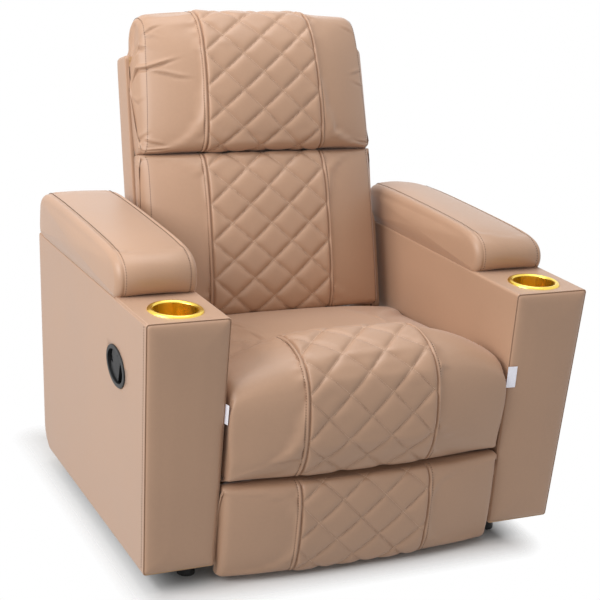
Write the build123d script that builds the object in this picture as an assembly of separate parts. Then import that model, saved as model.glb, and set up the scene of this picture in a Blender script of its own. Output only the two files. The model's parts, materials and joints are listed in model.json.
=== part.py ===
from build123d import *
import os
from math import atan2, cos, degrees, hypot, radians, sin, tan

# A manual recliner with padded arms, cup holders and a sprung footrest, in millimetres.
# +Z is up and the chair faces -Y, so the sitter's right hand is at -X. The origin is on the floor,
# under the middle of the chair. "Back" is a distance behind the arms' front faces.

# Overall layout
SEAT_WIDTH = 630.0
ARM_FRONT = -366.0
FIT_GAP = 0.3

# Arms
ARM_WIDTH = 169.0
ARM_LEAN = 22.0
ARM_TOP = 554.0
DECK_TILT = 2.1
ARM_BOTTOM = 40.0
ARM_DEPTH = 675.0
ARM_REAR_LEAN = 30.0
ARM_HEEL_RADIUS = 50.0
ARM_EDGE_RADIUS = 6.0
COVER = 4.0
BOARD = 12.0

# Arm pads
PAD_START = 170.0
PAD_END = 668.0
PAD_SIDE = 74.0
PAD_CROWN = 15.0
PAD_BULGE = 3.0
PAD_NOSE_RADIUS = 52.0
PAD_TAIL_RADIUS = 14.0
PAD_INSET = 1.5

# Cup holders
CUP_BACK = 74.0
CUP_RADIUS = 43.2
CUP_WALL = 1.5
CUP_DEPTH = 72.0
CUP_RIM_RADIUS = 54.0
CUP_RIM_HEIGHT = 4.5
CUP_LIP_HEIGHT = 1.0

# Glide feet
FOOT_RADIUS = 18.0
FOOT_PAD = 7.0
FOOT_STEM_RADIUS = 13.0
FOOT_INSET = 34.0
FOOT_BACKS = (62.0, 580.0)

# Release handle, on the outside of the right arm
HANDLE_BACK = 163.0
HANDLE_HEIGHT = 412.0
HANDLE_TILT = -12.8
BEZEL_LENGTH = 103.0
BEZEL_HEIGHT = 78.0
BEZEL_FLANGE = 8.5
BEZEL_PROUD = 3.0
BEZEL_WALL = 2.5
BEZEL_DEPTH = 24.0
FLAP_THICKNESS = 5.0
FLAP_SINK = 1.0
FLAP_GAP = 1.5
FLAP_FRONT = 15.0
FLAP_PIVOT = 29.0
FLAP_BARREL = 4.5
FLAP_NOTCH = 9.0
LEVER_PIN_RADIUS = 2.0
SPRING_WIRE = 0.7
SPRING_TURNS = 4
SPRING_SLOT = 12.0

# Sewn-in tags
TAG_THICKNESS = 0.8
TAG_OVERHANG = 4.0
TAG_WIDTH_LEFT = 21.0
TAG_WIDTH_RIGHT = 12.0
TAG_HEIGHTS_LEFT = (354.0, 400.0)
TAG_HEIGHTS_RIGHT = (341.0, 381.0)

# Steel linkage
LINK = 4.0
LINK_GAP = 3.0
LINK_WIDTH = 20.0
PIN_RADIUS = 4.0
PIN_CLEARANCE = 0.05
HEAD_RADIUS = 7.0
HEAD_HEIGHT = 2.0
END_PLAY = 0.25
LAYERS = ("rail", "swing", "seat", "front", "upper", "rear", "lower")

# Footrest linkage pivots, as (back, height) with the footrest folded
FRONT_PIVOT = (80.9, 189.4)
FRONT_TO_UPPER = (132.7, 93.6)
FRONT_TO_LOWER = (166.3, 59.0)
REAR_PIVOT = (143.5, 191.2)
REAR_TO_LOWER = (226.8, 57.1)
LOWER_TO_REAR = (226.2, 57.0)
LOWER_TO_FOOTREST = (89.4, 152.3)
UPPER_TO_FOOTREST = (55.9, 193.8)
FOOTREST_TO_UPPER = (55.8, 195.1)
REAR_SLACK = 0.95
UPPER_SLACK = 1.65
SLACK_HEAD_RADIUS = 8.5
DRIVE_TUBE_RADIUS = 11.0
DRIVE_TUBE_WALL = 2.0

# Seat carrier: base rails, swing links and seat plates
SWING_BACKS = (170.0, 470.0)
SWING_HEIGHT = 80.0
SWING_LENGTH = 90.0
SWING_LEAN = 20.0
BASE_RAIL_BACKS = (96.0, 610.0)
BASE_RAIL_HEIGHT = 46.0
BASE_TUBE = 25.0
BASE_TUBE_WALL = 2.0
BASE_TUBE_BACKS = (300.0, 575.0)
BOLT_BACKS = (120.0, 360.0, 598.0)
BOLT_RADIUS = 4.0
BOLT_HEAD_RADIUS = 7.0
BOLT_HEAD = 4.0
NUT = 5.0
PLATE_TOP = 215.0
PLATE_WEB = 37.0
PLATE_FRONT = 62.0
PLATE_FLANGE = 42.0
PLATE_LOBE = 30.0

# Seat frame and cushion
FRAME_WIDTH = 560.0
RAIL_THICKNESS = 22.0
SEAT_RAIL_HEIGHT = 60.0
SEAT_FRAME_DEPTH = 400.0
STRAP = 2.0
STRAP_WIDTH = 50.0
SEAT_STRAPS = 5
CUSHION_GAP = 5.0
SEAT_BACK_END = 505.0
SEAT_ROLL_BOTTOM = 213.0

# Footrest
FOOTREST_BOTTOM = 13.0
FOOTREST_TOP = 207.0
FOOTREST_PAD_BACK = 31.7
FOOTREST_EDGE = -17.0
FOOTREST_CROWN = 23.0
BRACKET_FLANGE = 40.0
BRACKET_HEIGHTS = (66.0, 186.0)
BOARD_INSET = 8.0

# Back, in a frame that leans with it: "deep" is behind the front seam plane, "up" is along the back
BACK_LEAN = 18.0
BACK_FOOT = (469.0, 300.0)
BACK_RAIL_DEEP = 45.0
BACK_RAIL_LOW = -38.0
HINGE_UP = -15.0
HINGE_LOBE = 32.0
BRACKET_UP = 150.0
CROSS_RAIL_HEIGHT = 40.0
BACK_STRAP_UPS = (110.0, 205.0, 300.0, 395.0, 490.0, 575.0)
SHELL_DEEP = 105.0
SHELL_BOTTOM = 60.0
SHELL_TOP = 650.0
SHELL_EDGE_RADIUS = 14.0
BACK_CUSHION_WIDTH = 564.0
BACK_CUSHION_UPS = (76.0, 429.0)
HEADREST_UPS = (434.0, 742.0)
HEADREST_REAR = 88.0

# Cushion sides and quilting
SIDE_DRAW = 0.15
PANEL_WIDTH = 288.0
DIAMOND_WIDTH = 96.0
DIAMOND_HEIGHT = 88.0
CHANNEL_WIDTH = 4.0
CHANNEL_DEPTH = 4.0
QUILT_REACH = 80.0
ROLL_TILT = 35.0
ROLL_CENTRE = (-20.0, 380.0)
ROLL_PANEL = (-118.0, 130.0)
HEADREST_BROW = 26.0

half_width = SEAT_WIDTH / 2
nodes = {}


def side_plane(x):
    """Plane across the chair at x, with back and height as its coordinates."""
    return Plane(origin=(x, ARM_FRONT, 0), x_dir=(0, 1, 0), z_dir=(1, 0, 0))


def back_plane(x):
    """Plane across the chair at x, with deep and up along the leaning back as its coordinates."""
    lean = radians(BACK_LEAN)
    foot = (x, ARM_FRONT + BACK_FOOT[0], BACK_FOOT[1])
    return Plane(origin=foot, x_dir=(0, cos(lean), -sin(lean)), z_dir=(1, 0, 0))


def block(plane, first, second, width, x):
    """Box from x to x + width between two corners of a side or back plane."""
    size = (second[0] - first[0], second[1] - first[1])
    middle = (first[0] + size[0] / 2, first[1] + size[1] / 2)
    return extrude(plane(x) * Pos(*middle) * Rectangle(*size), width)


def disc(pivot, radius, x_from, x_to):
    return extrude(side_plane(x_from) * Pos(*pivot) * Circle(radius), x_to - x_from)


def mirrored(shape):
    return mirror(shape, about=Plane.YZ)


def add_pair(name, left):
    nodes[name + "_left"] = left
    nodes[name + "_right"] = mirrored(left)


def add_group(name, solids):
    nodes[name] = Compound(children=[piece for shape in solids for piece in shape.solids()])


def both_sides(shapes):
    return shapes + [mirrored(shape) for shape in shapes]


# Arms

def outer_face(height):
    """Distance of an arm's outer face from the middle of the chair, which leans in towards the floor."""
    fall = (ARM_TOP - height) / (ARM_TOP - ARM_BOTTOM)
    return half_width + ARM_WIDTH - ARM_LEAN * fall


def rear_face(height):
    return ARM_DEPTH - ARM_REAR_LEAN * (ARM_TOP - height) / (ARM_TOP - ARM_BOTTOM)


def deck_height(back):
    """Height of the arm's top, which falls towards the rear."""
    return ARM_TOP - back * tan(radians(DECK_TILT))


def arm_block(inset, floor, radius):
    """The arm's outline drawn in by an inset, from floor up."""
    top = ARM_TOP - inset
    section = Polygon(
        (half_width + inset, floor),
        (outer_face(floor) - inset, floor),
        (outer_face(top) - inset, top),
        (half_width + inset, top),
        align=None,
    )
    front = Plane(origin=(0, ARM_FRONT + inset, 0), x_dir=(1, 0, 0), z_dir=(0, -1, 0))
    body = extrude(front * section, -ARM_DEPTH)
    behind = Polygon(
        (rear_face(floor) - inset, floor),
        (rear_face(top) + ARM_DEPTH, floor),
        (rear_face(top) + ARM_DEPTH, top),
        (rear_face(top) - inset, top),
        align=None,
    )
    above = Polygon(
        (-ARM_DEPTH, deck_height(-ARM_DEPTH) - inset),
        (2 * ARM_DEPTH, deck_height(2 * ARM_DEPTH) - inset),
        (2 * ARM_DEPTH, 2 * ARM_TOP),
        (-ARM_DEPTH, 2 * ARM_TOP),
        align=None,
    )
    for spare in (behind, above):
        body -= extrude(side_plane(0) * spare, half_width + 2 * ARM_WIDTH)
    heel = body.edges().filter_by(Axis.X).group_by(Axis.Z)[0].sort_by(Axis.Y)[-1]
    body = fillet(heel, ARM_HEEL_RADIUS - inset)
    if radius:
        rim = [edge for edge in body.edges() if edge.center().Z > floor + ARM_HEEL_RADIUS]
        body = fillet(rim, radius)
    return body


def cup_place():
    """Middle of a cup's rim, turned square to the sloping top."""
    rim = Pos(half_width + ARM_WIDTH / 2, ARM_FRONT + CUP_BACK, deck_height(CUP_BACK))
    return rim * Rot(-DECK_TILT, 0, 0)


def handle_plane():
    """Plane on the right arm's outer face: forwards, up and outwards, turned with the oval handle."""
    slope = ARM_LEAN / (ARM_TOP - ARM_BOTTOM)
    centre = (-outer_face(HANDLE_HEIGHT), ARM_FRONT + HANDLE_BACK, HANDLE_HEIGHT)
    face = Plane(origin=centre, x_dir=(0, -1, 0), z_dir=(-1, 0, -slope))
    return Plane(face.location * Rot(0, 0, HANDLE_TILT))


def oval(inset):
    return Ellipse(BEZEL_LENGTH / 2 - inset, BEZEL_HEIGHT / 2 - inset)


def bolt_holes():
    height = SWING_HEIGHT
    return [(back, height) for back in BOLT_BACKS]


def make_arms():
    cup_hole = cup_place() * Cylinder(CUP_RADIUS + CUP_WALL + FIT_GAP, 4 * BOARD)
    handle_hole = extrude(handle_plane() * oval(BEZEL_FLANGE - BEZEL_WALL - FIT_GAP), 2 * BOARD, both=True)
    bolt_hole = BOLT_RADIUS + PIN_CLEARANCE
    bolts = [disc(hole, bolt_hole, half_width - BOARD, half_width + 3 * BOARD) for hole in bolt_holes()]

    cover = arm_block(0, ARM_BOTTOM, ARM_EDGE_RADIUS)
    cover -= arm_block(COVER, ARM_BOTTOM, ARM_EDGE_RADIUS - COVER)
    frame = arm_block(COVER, ARM_BOTTOM, ARM_EDGE_RADIUS - COVER)
    frame -= arm_block(COVER + BOARD, ARM_BOTTOM + BOARD, 0)
    for name, shell in (("arm_cover", cover), ("arm_frame", frame)):
        shell -= [cup_hole, *bolts]
        nodes[name + "_left"] = shell
        nodes[name + "_right"] = mirrored(shell) - handle_hole


def make_pads():
    inner = half_width + PAD_INSET
    outer = half_width + ARM_WIDTH - PAD_INSET
    bottom = ARM_TOP
    seam = bottom + PAD_SIDE
    middle = (inner + outer) / 2
    half_side = bottom + PAD_SIDE / 2
    section = make_face(
        [
            Line((inner, bottom), (outer, bottom)),
            ThreePointArc((outer, bottom), (outer + PAD_BULGE, half_side), (outer, seam)),
            ThreePointArc((outer, seam), (middle, seam + PAD_CROWN), (inner, seam)),
            ThreePointArc((inner, seam), (inner - PAD_BULGE, half_side), (inner, bottom)),
        ]
    )
    start = Plane(origin=(0, ARM_FRONT + PAD_START, 0), x_dir=(1, 0, 0), z_dir=(0, -1, 0))
    pad = extrude(start * section, PAD_START - PAD_END)
    top = seam + PAD_CROWN
    profile = Polygon((PAD_START, bottom), (PAD_END, bottom), (PAD_END, top), (PAD_START, top), align=None)
    corners = profile.vertices().group_by(Axis.Y)[-1].sort_by(Axis.X)
    profile = fillet(corners[0], PAD_NOSE_RADIUS)
    profile = fillet(profile.vertices().sort_by(Axis.X)[-1], PAD_TAIL_RADIUS)
    pad &= extrude(side_plane(half_width - ARM_WIDTH) * profile, 3 * ARM_WIDTH)
    add_pair("arm_pad", pad.rotate(Axis((0, ARM_FRONT, ARM_TOP), (1, 0, 0)), -DECK_TILT))


def make_cups():
    outer = CUP_RADIUS + CUP_WALL
    rim_middle = ((CUP_RADIUS + CUP_RIM_RADIUS) / 2, CUP_RIM_HEIGHT)
    inside = (CUP_RADIUS, CUP_LIP_HEIGHT)
    floor = CUP_WALL - CUP_DEPTH
    section = make_face(
        [
            Line((0, -CUP_DEPTH), (outer, -CUP_DEPTH)),
            Line((outer, -CUP_DEPTH), (outer, 0)),
            Line((outer, 0), (CUP_RIM_RADIUS, 0)),
            ThreePointArc((CUP_RIM_RADIUS, 0), rim_middle, inside),
            Line(inside, (CUP_RADIUS, floor)),
            Line((CUP_RADIUS, floor), (0, floor)),
            Line((0, floor), (0, -CUP_DEPTH)),
        ]
    )
    cup = revolve(Plane.XZ * section, Axis.Z)
    add_pair("cup_holder", cup_place() * cup)


def make_feet():
    section = make_face(
        Polyline(
            (0, 0),
            (FOOT_RADIUS, 0),
            (FOOT_RADIUS, FOOT_PAD),
            (FOOT_STEM_RADIUS, 2 * FOOT_PAD),
            (FOOT_STEM_RADIUS, ARM_BOTTOM),
            (0, ARM_BOTTOM),
            (0, 0),
        )
    )
    foot = revolve(Plane.XZ * section, Axis.Z)
    places = [Pos(half_width + FOOT_INSET, ARM_FRONT + back, 0) for back in FOOT_BACKS]
    add_group("glide_feet", both_sides([place * foot for place in places]))


def make_tags():
    """Blank tags that lie on the arms' front faces, caught in the inner front seams."""
    tags = []
    for side, width, heights in ((1, TAG_WIDTH_LEFT, TAG_HEIGHTS_LEFT), (-1, TAG_WIDTH_RIGHT, TAG_HEIGHTS_RIGHT)):
        x = side * (half_width + width / 2 - TAG_OVERHANG)
        y = ARM_FRONT - TAG_THICKNESS / 2
        low, high = heights
        tags.append(Pos(x, y, (low + high) / 2) * Box(width, TAG_THICKNESS, high - low))
    add_group("label_tags", tags)


# Release handle

def recess_reach(along):
    """Half height of the handle's recess at a distance from its middle."""
    share = along / (BEZEL_LENGTH / 2 - BEZEL_FLANGE)
    return (BEZEL_HEIGHT / 2 - BEZEL_FLANGE) * (1 - share**2) ** 0.5


def make_handle():
    plane = handle_plane()
    recess = oval(BEZEL_FLANGE)
    wall = oval(BEZEL_FLANGE - BEZEL_WALL)
    flange = extrude(plane * oval(0), BEZEL_PROUD)
    flange = fillet(flange.faces().sort_by(Axis(plane.origin, plane.z_dir))[-1].edges(), BEZEL_PROUD / 2)
    bezel = flange + extrude(plane * wall, -BEZEL_DEPTH)
    bezel -= extrude(plane.offset(BEZEL_WALL - BEZEL_DEPTH) * recess, BEZEL_DEPTH + BEZEL_PROUD)

    pivot_deep = FLAP_SINK + FLAP_BARREL
    across = plane.offset(-pivot_deep) * Pos(-FLAP_PIVOT, 0, 0) * Rot(90, 0, 0)
    half_recess = BEZEL_HEIGHT / 2 - BEZEL_FLANGE
    pin_length = 2 * recess_reach(FLAP_PIVOT) + BEZEL_WALL
    nodes["handle_bezel"] = bezel - across * Cylinder(LEVER_PIN_RADIUS + PIN_CLEARANCE, pin_length)
    nodes["lever_pin"] = across * Cylinder(LEVER_PIN_RADIUS, pin_length)

    barrel_length = 2 * (recess_reach(FLAP_PIVOT + FLAP_BARREL) - FLAP_GAP)
    flap_length = FLAP_PIVOT + FLAP_FRONT
    keep = Pos((FLAP_FRONT - FLAP_PIVOT) / 2, 0) * Rectangle(flap_length, BEZEL_HEIGHT)
    outline = oval(BEZEL_FLANGE + FLAP_GAP) & keep
    outline -= Pos(0, half_recess) * Rectangle(FLAP_NOTCH, 2 * FLAP_NOTCH)
    flap = extrude(plane.offset(-FLAP_SINK) * outline, -FLAP_THICKNESS)
    flap += across * Cylinder(FLAP_BARREL, barrel_length)
    flap -= across * Cylinder(LEVER_PIN_RADIUS + PIN_CLEARANCE, 2 * pin_length)
    flap -= across * Cylinder(2 * FLAP_BARREL, SPRING_SLOT)
    nodes["release_lever"] = flap

    pitch = (SPRING_SLOT - 6 * SPRING_WIRE) / SPRING_TURNS
    coil_radius = LEVER_PIN_RADIUS + SPRING_WIRE + FIT_GAP
    coil = Helix(pitch, pitch * SPRING_TURNS, coil_radius)
    start = Plane(origin=coil @ 0, z_dir=coil % 0)
    spring = sweep(start * Circle(SPRING_WIRE), path=coil, is_frenet=True)
    nodes["lever_spring"] = across * Pos(0, 0, -pitch * SPRING_TURNS / 2) * spring


# Steel linkage

def layer(name):
    """Inner face of a layer of links. The layers are stacked inwards from the arm."""
    count = LAYERS.index(name)
    return half_width - (count + 1) * LINK - count * LINK_GAP


def bar(start, end, width):
    """Outline of a flat bar with round ends, centred on two pivots."""
    length = hypot(end[0] - start[0], end[1] - start[1])
    turn = degrees(atan2(end[1] - start[1], end[0] - start[0]))
    middle = ((start[0] + end[0]) / 2, (start[1] + end[1]) / 2)
    return Pos(*middle) * Rot(0, 0, turn) * SlotCenterToCenter(length, width)


def link(name, pivots, slack=0.0):
    """Link through its pivots in order. Slack widens the hole at the last one."""
    outline = Sketch()
    for start, end in zip(pivots, pivots[1:]):
        outline += bar(start, end, LINK_WIDTH)
    for pivot in pivots:
        wide = slack if pivot == pivots[-1] else 0.0
        outline -= Pos(*pivot) * Circle(PIN_RADIUS + PIN_CLEARANCE + wide)
    return extrude(side_plane(layer(name)) * outline, LINK)


def rivet(pivot, outer, inner, head=HEAD_RADIUS):
    """Rivet through a link of an outer and one of an inner layer, with a shoulder between them."""
    outside = layer(outer) + LINK + END_PLAY
    inside = layer(inner) - END_PLAY
    body = disc(pivot, PIN_RADIUS, inside - HEAD_HEIGHT, outside + HEAD_HEIGHT)
    body += disc(pivot, head, outside, outside + HEAD_HEIGHT)
    body += disc(pivot, head, inside - HEAD_HEIGHT, inside)
    return body + disc(pivot, head, layer(inner) + LINK + END_PLAY, layer(outer) - END_PLAY)


def swing_top(back):
    lean = radians(SWING_LEAN)
    return (back + SWING_LENGTH * sin(lean), SWING_HEIGHT + SWING_LENGTH * cos(lean))


def hinge_point():
    """The back's hinge axis, as (back, height), on the middle line of the back's side rails."""
    place = back_plane(0).from_local_coords((BACK_RAIL_DEEP + RAIL_THICKNESS / 2, HINGE_UP, 0))
    return (place.Y - ARM_FRONT, place.Z)


def make_base():
    inner = layer("rail")
    low = SWING_HEIGHT - BASE_RAIL_HEIGHT / 2
    first, last = BASE_RAIL_BACKS
    rail = block(side_plane, (first, low), (last, low + BASE_RAIL_HEIGHT), LINK, inner)
    for back in SWING_BACKS:
        rail -= disc((back, SWING_HEIGHT), PIN_RADIUS + PIN_CLEARANCE, inner, inner + LINK)
    for hole in bolt_holes():
        rail -= disc(hole, BOLT_RADIUS + PIN_CLEARANCE, inner, inner + LINK)
    add_pair("base_rail", rail)

    for name, back in zip(("base_front_tube", "base_rear_tube"), BASE_TUBE_BACKS):
        section = Rectangle(BASE_TUBE, BASE_TUBE) - Rectangle(
            BASE_TUBE - 2 * BASE_TUBE_WALL, BASE_TUBE - 2 * BASE_TUBE_WALL
        )
        nodes[name] = extrude(side_plane(-inner) * Pos(back, SWING_HEIGHT) * section, 2 * inner)

    pivots = [rivet((back, SWING_HEIGHT), "rail", "swing") for back in SWING_BACKS]
    pivots = [pin & block(side_plane, (0, 0), (ARM_DEPTH, ARM_TOP), half_width, 0) for pin in pivots]
    add_group("base_pivot_rivets", both_sides(pivots))

    bolts = []
    for hole in bolt_holes():
        nut_face = half_width + COVER + BOARD
        bolt = disc(hole, BOLT_RADIUS, inner - BOLT_HEAD, nut_face + NUT)
        bolt += disc(hole, BOLT_HEAD_RADIUS, inner - BOLT_HEAD, inner)
        bolts.append(bolt + disc(hole, BOLT_HEAD_RADIUS, nut_face, nut_face + NUT))
    add_group("arm_bolts", both_sides(bolts))


def make_seat_carrier():
    for name, back in zip(("front_swing_link", "rear_swing_link"), SWING_BACKS):
        add_pair(name, link("swing", [(back, SWING_HEIGHT), swing_top(back)]))

    hinge = hinge_point()
    web_low = PLATE_TOP - PLATE_WEB
    web_end = hinge[0] + HINGE_LOBE / 2
    outline = Pos((PLATE_FRONT + web_end) / 2, PLATE_TOP - PLATE_WEB / 2) * Rectangle(
        web_end - PLATE_FRONT, PLATE_WEB
    )
    for back in SWING_BACKS:
        top = swing_top(back)
        outline += bar(top, (top[0], web_low + PLATE_WEB / 2), PLATE_LOBE)
    outline += bar((hinge[0], web_low + PLATE_WEB / 2), hinge, HINGE_LOBE)
    pivots = [FRONT_PIVOT, REAR_PIVOT, hinge, *map(swing_top, SWING_BACKS)]
    for pivot in pivots:
        outline -= Pos(*pivot) * Circle(PIN_RADIUS + PIN_CLEARANCE)
    inner = layer("seat")
    plate = extrude(side_plane(inner) * outline, LINK)
    flange_end = PLATE_FRONT + SEAT_FRAME_DEPTH
    flange = ((PLATE_FRONT, PLATE_TOP), (flange_end, PLATE_TOP + LINK))
    plate += block(side_plane, *flange, PLATE_FLANGE + LINK, inner - PLATE_FLANGE)
    add_pair("seat_plate", plate)

    rivets = [rivet(FRONT_PIVOT, "seat", "front"), rivet(REAR_PIVOT, "seat", "rear")]
    rivets += [rivet(swing_top(back), "swing", "seat") for back in SWING_BACKS]
    bracket_face = FRAME_WIDTH / 2 - END_PLAY
    pin = disc(hinge, PIN_RADIUS, bracket_face - HEAD_HEIGHT, inner + LINK + END_PLAY + HEAD_HEIGHT)
    pin += disc(hinge, HEAD_RADIUS, bracket_face - HEAD_HEIGHT, bracket_face)
    pin += disc(hinge, HEAD_RADIUS, FRAME_WIDTH / 2 + LINK + END_PLAY, inner - END_PLAY)
    pin += disc(hinge, HEAD_RADIUS, inner + LINK + END_PLAY, inner + LINK + END_PLAY + HEAD_HEIGHT)
    add_group("seat_pivot_rivets", both_sides([*rivets, pin]))


def make_footrest_linkage():
    add_pair("front_link", link("front", [FRONT_PIVOT, FRONT_TO_UPPER, FRONT_TO_LOWER]))
    add_pair("rear_link", link("rear", [REAR_PIVOT, REAR_TO_LOWER], REAR_SLACK))
    add_pair("lower_link", link("lower", [LOWER_TO_REAR, FRONT_TO_LOWER, LOWER_TO_FOOTREST]))
    add_pair("upper_link", link("upper", [FRONT_TO_UPPER, UPPER_TO_FOOTREST], UPPER_SLACK))

    joins = [rivet(FRONT_TO_UPPER, "front", "upper"), rivet(FRONT_TO_LOWER, "front", "lower")]
    add_group("front_link_rivets", both_sides(joins))
    joins = [rivet(LOWER_TO_REAR, "rear", "lower", SLACK_HEAD_RADIUS)]
    joins.append(rivet(LOWER_TO_FOOTREST, "rear", "lower"))
    add_group("lower_link_rivets", both_sides(joins))
    add_group("footrest_rivets", both_sides([rivet(FOOTREST_TO_UPPER, "upper", "rear", SLACK_HEAD_RADIUS)]))

    end = layer("rear")
    tube = disc(REAR_PIVOT, DRIVE_TUBE_RADIUS, -end, end)
    nodes["drive_tube"] = tube - disc(REAR_PIVOT, DRIVE_TUBE_RADIUS - DRIVE_TUBE_WALL, -end, end)

    board_back = FOOTREST_PAD_BACK + FIT_GAP + BOARD
    low, high = BRACKET_HEIGHTS
    corners = [(board_back + LINK, low), (board_back + LINK, high), LOWER_TO_FOOTREST]
    outline = make_face(Polyline(*corners, corners[0]))
    outline += bar(LOWER_TO_FOOTREST, FOOTREST_TO_UPPER, LINK_WIDTH)
    outline += bar(corners[1], FOOTREST_TO_UPPER, LINK_WIDTH / 2)
    for pivot in (LOWER_TO_FOOTREST, FOOTREST_TO_UPPER):
        outline -= Pos(*pivot) * Circle(PIN_RADIUS + PIN_CLEARANCE)
    bracket = extrude(side_plane(end) * outline, LINK)
    flange = ((board_back, low), (board_back + LINK, high))
    bracket += block(side_plane, *flange, BRACKET_FLANGE + LINK, end - BRACKET_FLANGE)
    bracket -= block(side_plane, (0, 0), (board_back, ARM_TOP), SEAT_WIDTH, 0)
    add_pair("footrest_bracket", bracket)

    width = SEAT_WIDTH - 2 * CUSHION_GAP - 2 * BOARD_INSET
    first = (FOOTREST_PAD_BACK + FIT_GAP, FOOTREST_BOTTOM + BOARD_INSET)
    second = (board_back, FOOTREST_TOP - BOARD_INSET)
    nodes["footrest_board"] = block(side_plane, first, second, width, -width / 2)


# Seat and back frames

def make_seat_frame():
    low = PLATE_TOP + LINK
    high = low + SEAT_RAIL_HEIGHT
    front, rear = PLATE_FRONT, PLATE_FRONT + SEAT_FRAME_DEPTH
    half = FRAME_WIDTH / 2
    inside = FRAME_WIDTH - 2 * RAIL_THICKNESS
    side = block(side_plane, (front, low), (rear, high), RAIL_THICKNESS, half - RAIL_THICKNESS)
    add_group("seat_side_rails", both_sides([side]))
    ends = (("seat_front_rail", front), ("seat_rear_rail", rear - RAIL_THICKNESS))
    for name, back in ends:
        nodes[name] = block(side_plane, (back, low), (back + RAIL_THICKNESS, high), inside, -inside / 2)
    step = inside / SEAT_STRAPS
    straps = []
    for count in range(SEAT_STRAPS):
        x = -inside / 2 + (count + 0.5) * step - STRAP_WIDTH / 2
        straps.append(block(side_plane, (front, high), (rear, high + STRAP), STRAP_WIDTH, x))
    add_group("seat_straps", straps)


def make_back_frame():
    half = FRAME_WIDTH / 2
    deep, behind = BACK_RAIL_DEEP, BACK_RAIL_DEEP + RAIL_THICKNESS
    low, high = BACK_RAIL_LOW, SHELL_TOP - COVER - FIT_GAP
    inside = FRAME_WIDTH - 2 * RAIL_THICKNESS
    hinge_up = (deep + RAIL_THICKNESS / 2, HINGE_UP)
    hole = extrude(back_plane(0) * Pos(*hinge_up) * Circle(HEAD_RADIUS + FIT_GAP), half)
    side = block(back_plane, (deep, low), (behind, high), RAIL_THICKNESS, half - RAIL_THICKNESS) - hole
    add_group("back_side_rails", both_sides([side]))
    rails = (("back_bottom_rail", 0.0), ("back_top_rail", high - CROSS_RAIL_HEIGHT))
    for name, up in rails:
        corners = ((deep, up), (behind, up + CROSS_RAIL_HEIGHT))
        nodes[name] = block(back_plane, *corners, inside, -inside / 2)
    straps = []
    for up in BACK_STRAP_UPS:
        corners = ((deep - STRAP, up), (deep, up + STRAP_WIDTH))
        straps.append(block(back_plane, *corners, FRAME_WIDTH, -half))
    add_group("back_straps", straps)

    outline = bar(hinge_up, (hinge_up[0], BRACKET_UP), RAIL_THICKNESS)
    outline += Pos(*hinge_up) * Circle(HINGE_LOBE / 2)
    outline -= Pos(*hinge_up) * Circle(PIN_RADIUS + PIN_CLEARANCE)
    add_pair("back_bracket", extrude(back_plane(half) * outline, LINK))


def make_back_shell():
    half = FRAME_WIDTH / 2 + LINK + FIT_GAP + COVER
    corners = ((BACK_RAIL_DEEP, SHELL_BOTTOM), (SHELL_DEEP, SHELL_TOP))
    shell = block(back_plane, *corners, 2 * half, -half)
    rearward = Axis(back_plane(0).origin, back_plane(0).x_dir)
    rear = shell.faces().sort_by(rearward)[-1]
    low_edge = rear.edges().sort_by(Axis.Z)[0]
    shell = fillet([edge for edge in rear.edges() if edge.center() != low_edge.center()], SHELL_EDGE_RADIUS)
    first = (BACK_RAIL_DEEP - COVER, SHELL_BOTTOM - COVER)
    second = (SHELL_DEEP - COVER, SHELL_TOP - COVER)
    inside = block(back_plane, first, second, 2 * (half - COVER), COVER - half)
    rear = inside.faces().sort_by(rearward)[-1]
    low_edge = rear.edges().sort_by(Axis.Z)[0]
    rounded = [edge for edge in rear.edges() if edge.center() != low_edge.center()]
    nodes["back_shell"] = shell - fillet(rounded, SHELL_EDGE_RADIUS - COVER)


# Cushions

def between(edge, middle, swell):
    return tuple(low + (high - low) * swell for low, high in zip(edge, middle))


def swell_at(share):
    """How far a cushion has swelled at a share of its half width: fully in its middle, drawn in at its sides."""
    return 1 - (1 + SIDE_DRAW) * abs(share) ** 3


def seat_outline(swell):
    """Seat cushion across x, as its outline: a front roll that hangs over the front rail."""
    floor = PLATE_TOP + LINK + SEAT_RAIL_HEIGHT + STRAP + FIT_GAP
    inner = PLATE_FRONT - FIT_GAP
    low = between((14.0, SEAT_ROLL_BOTTOM), (3.0, SEAT_ROLL_BOTTOM), swell)
    belly = between((-4.0, 295.0), (-43.0, 305.0), swell)
    brow = between((2.0, 372.0), (-34.0, 392.0), swell)
    round_top = between((18.0, 403.0), (2.0, 446.0), swell)
    crest = between((60.0, 417.0), (84.0, 470.0), swell)
    lap = between((275.0, 398.0), (295.0, 427.0), swell)
    rear = (SEAT_BACK_END, 364.0)
    front = [ThreePointArc(low, belly, brow), ThreePointArc(brow, round_top, crest)]
    rest = [
        ThreePointArc(crest, lap, rear),
        Line(rear, (SEAT_BACK_END, floor)),
        Line((SEAT_BACK_END, floor), (inner, floor)),
        Line((inner, floor), (inner, SEAT_ROLL_BOTTOM)),
        Line((inner, SEAT_ROLL_BOTTOM), low),
    ]
    return front, rest


def footrest_outline(swell):
    low = (8.0, FOOTREST_BOTTOM)
    high = (10.0, FOOTREST_TOP)
    middle = (FOOTREST_BOTTOM + FOOTREST_TOP) / 2
    belly = (FOOTREST_EDGE - FOOTREST_CROWN * swell, middle)
    front = [ThreePointArc(low, belly, high)]
    rest = [
        Line(high, (FOOTREST_PAD_BACK, FOOTREST_TOP)),
        Line((FOOTREST_PAD_BACK, FOOTREST_TOP), (FOOTREST_PAD_BACK, FOOTREST_BOTTOM)),
        Line((FOOTREST_PAD_BACK, FOOTREST_BOTTOM), low),
    ]
    return front, rest


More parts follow.
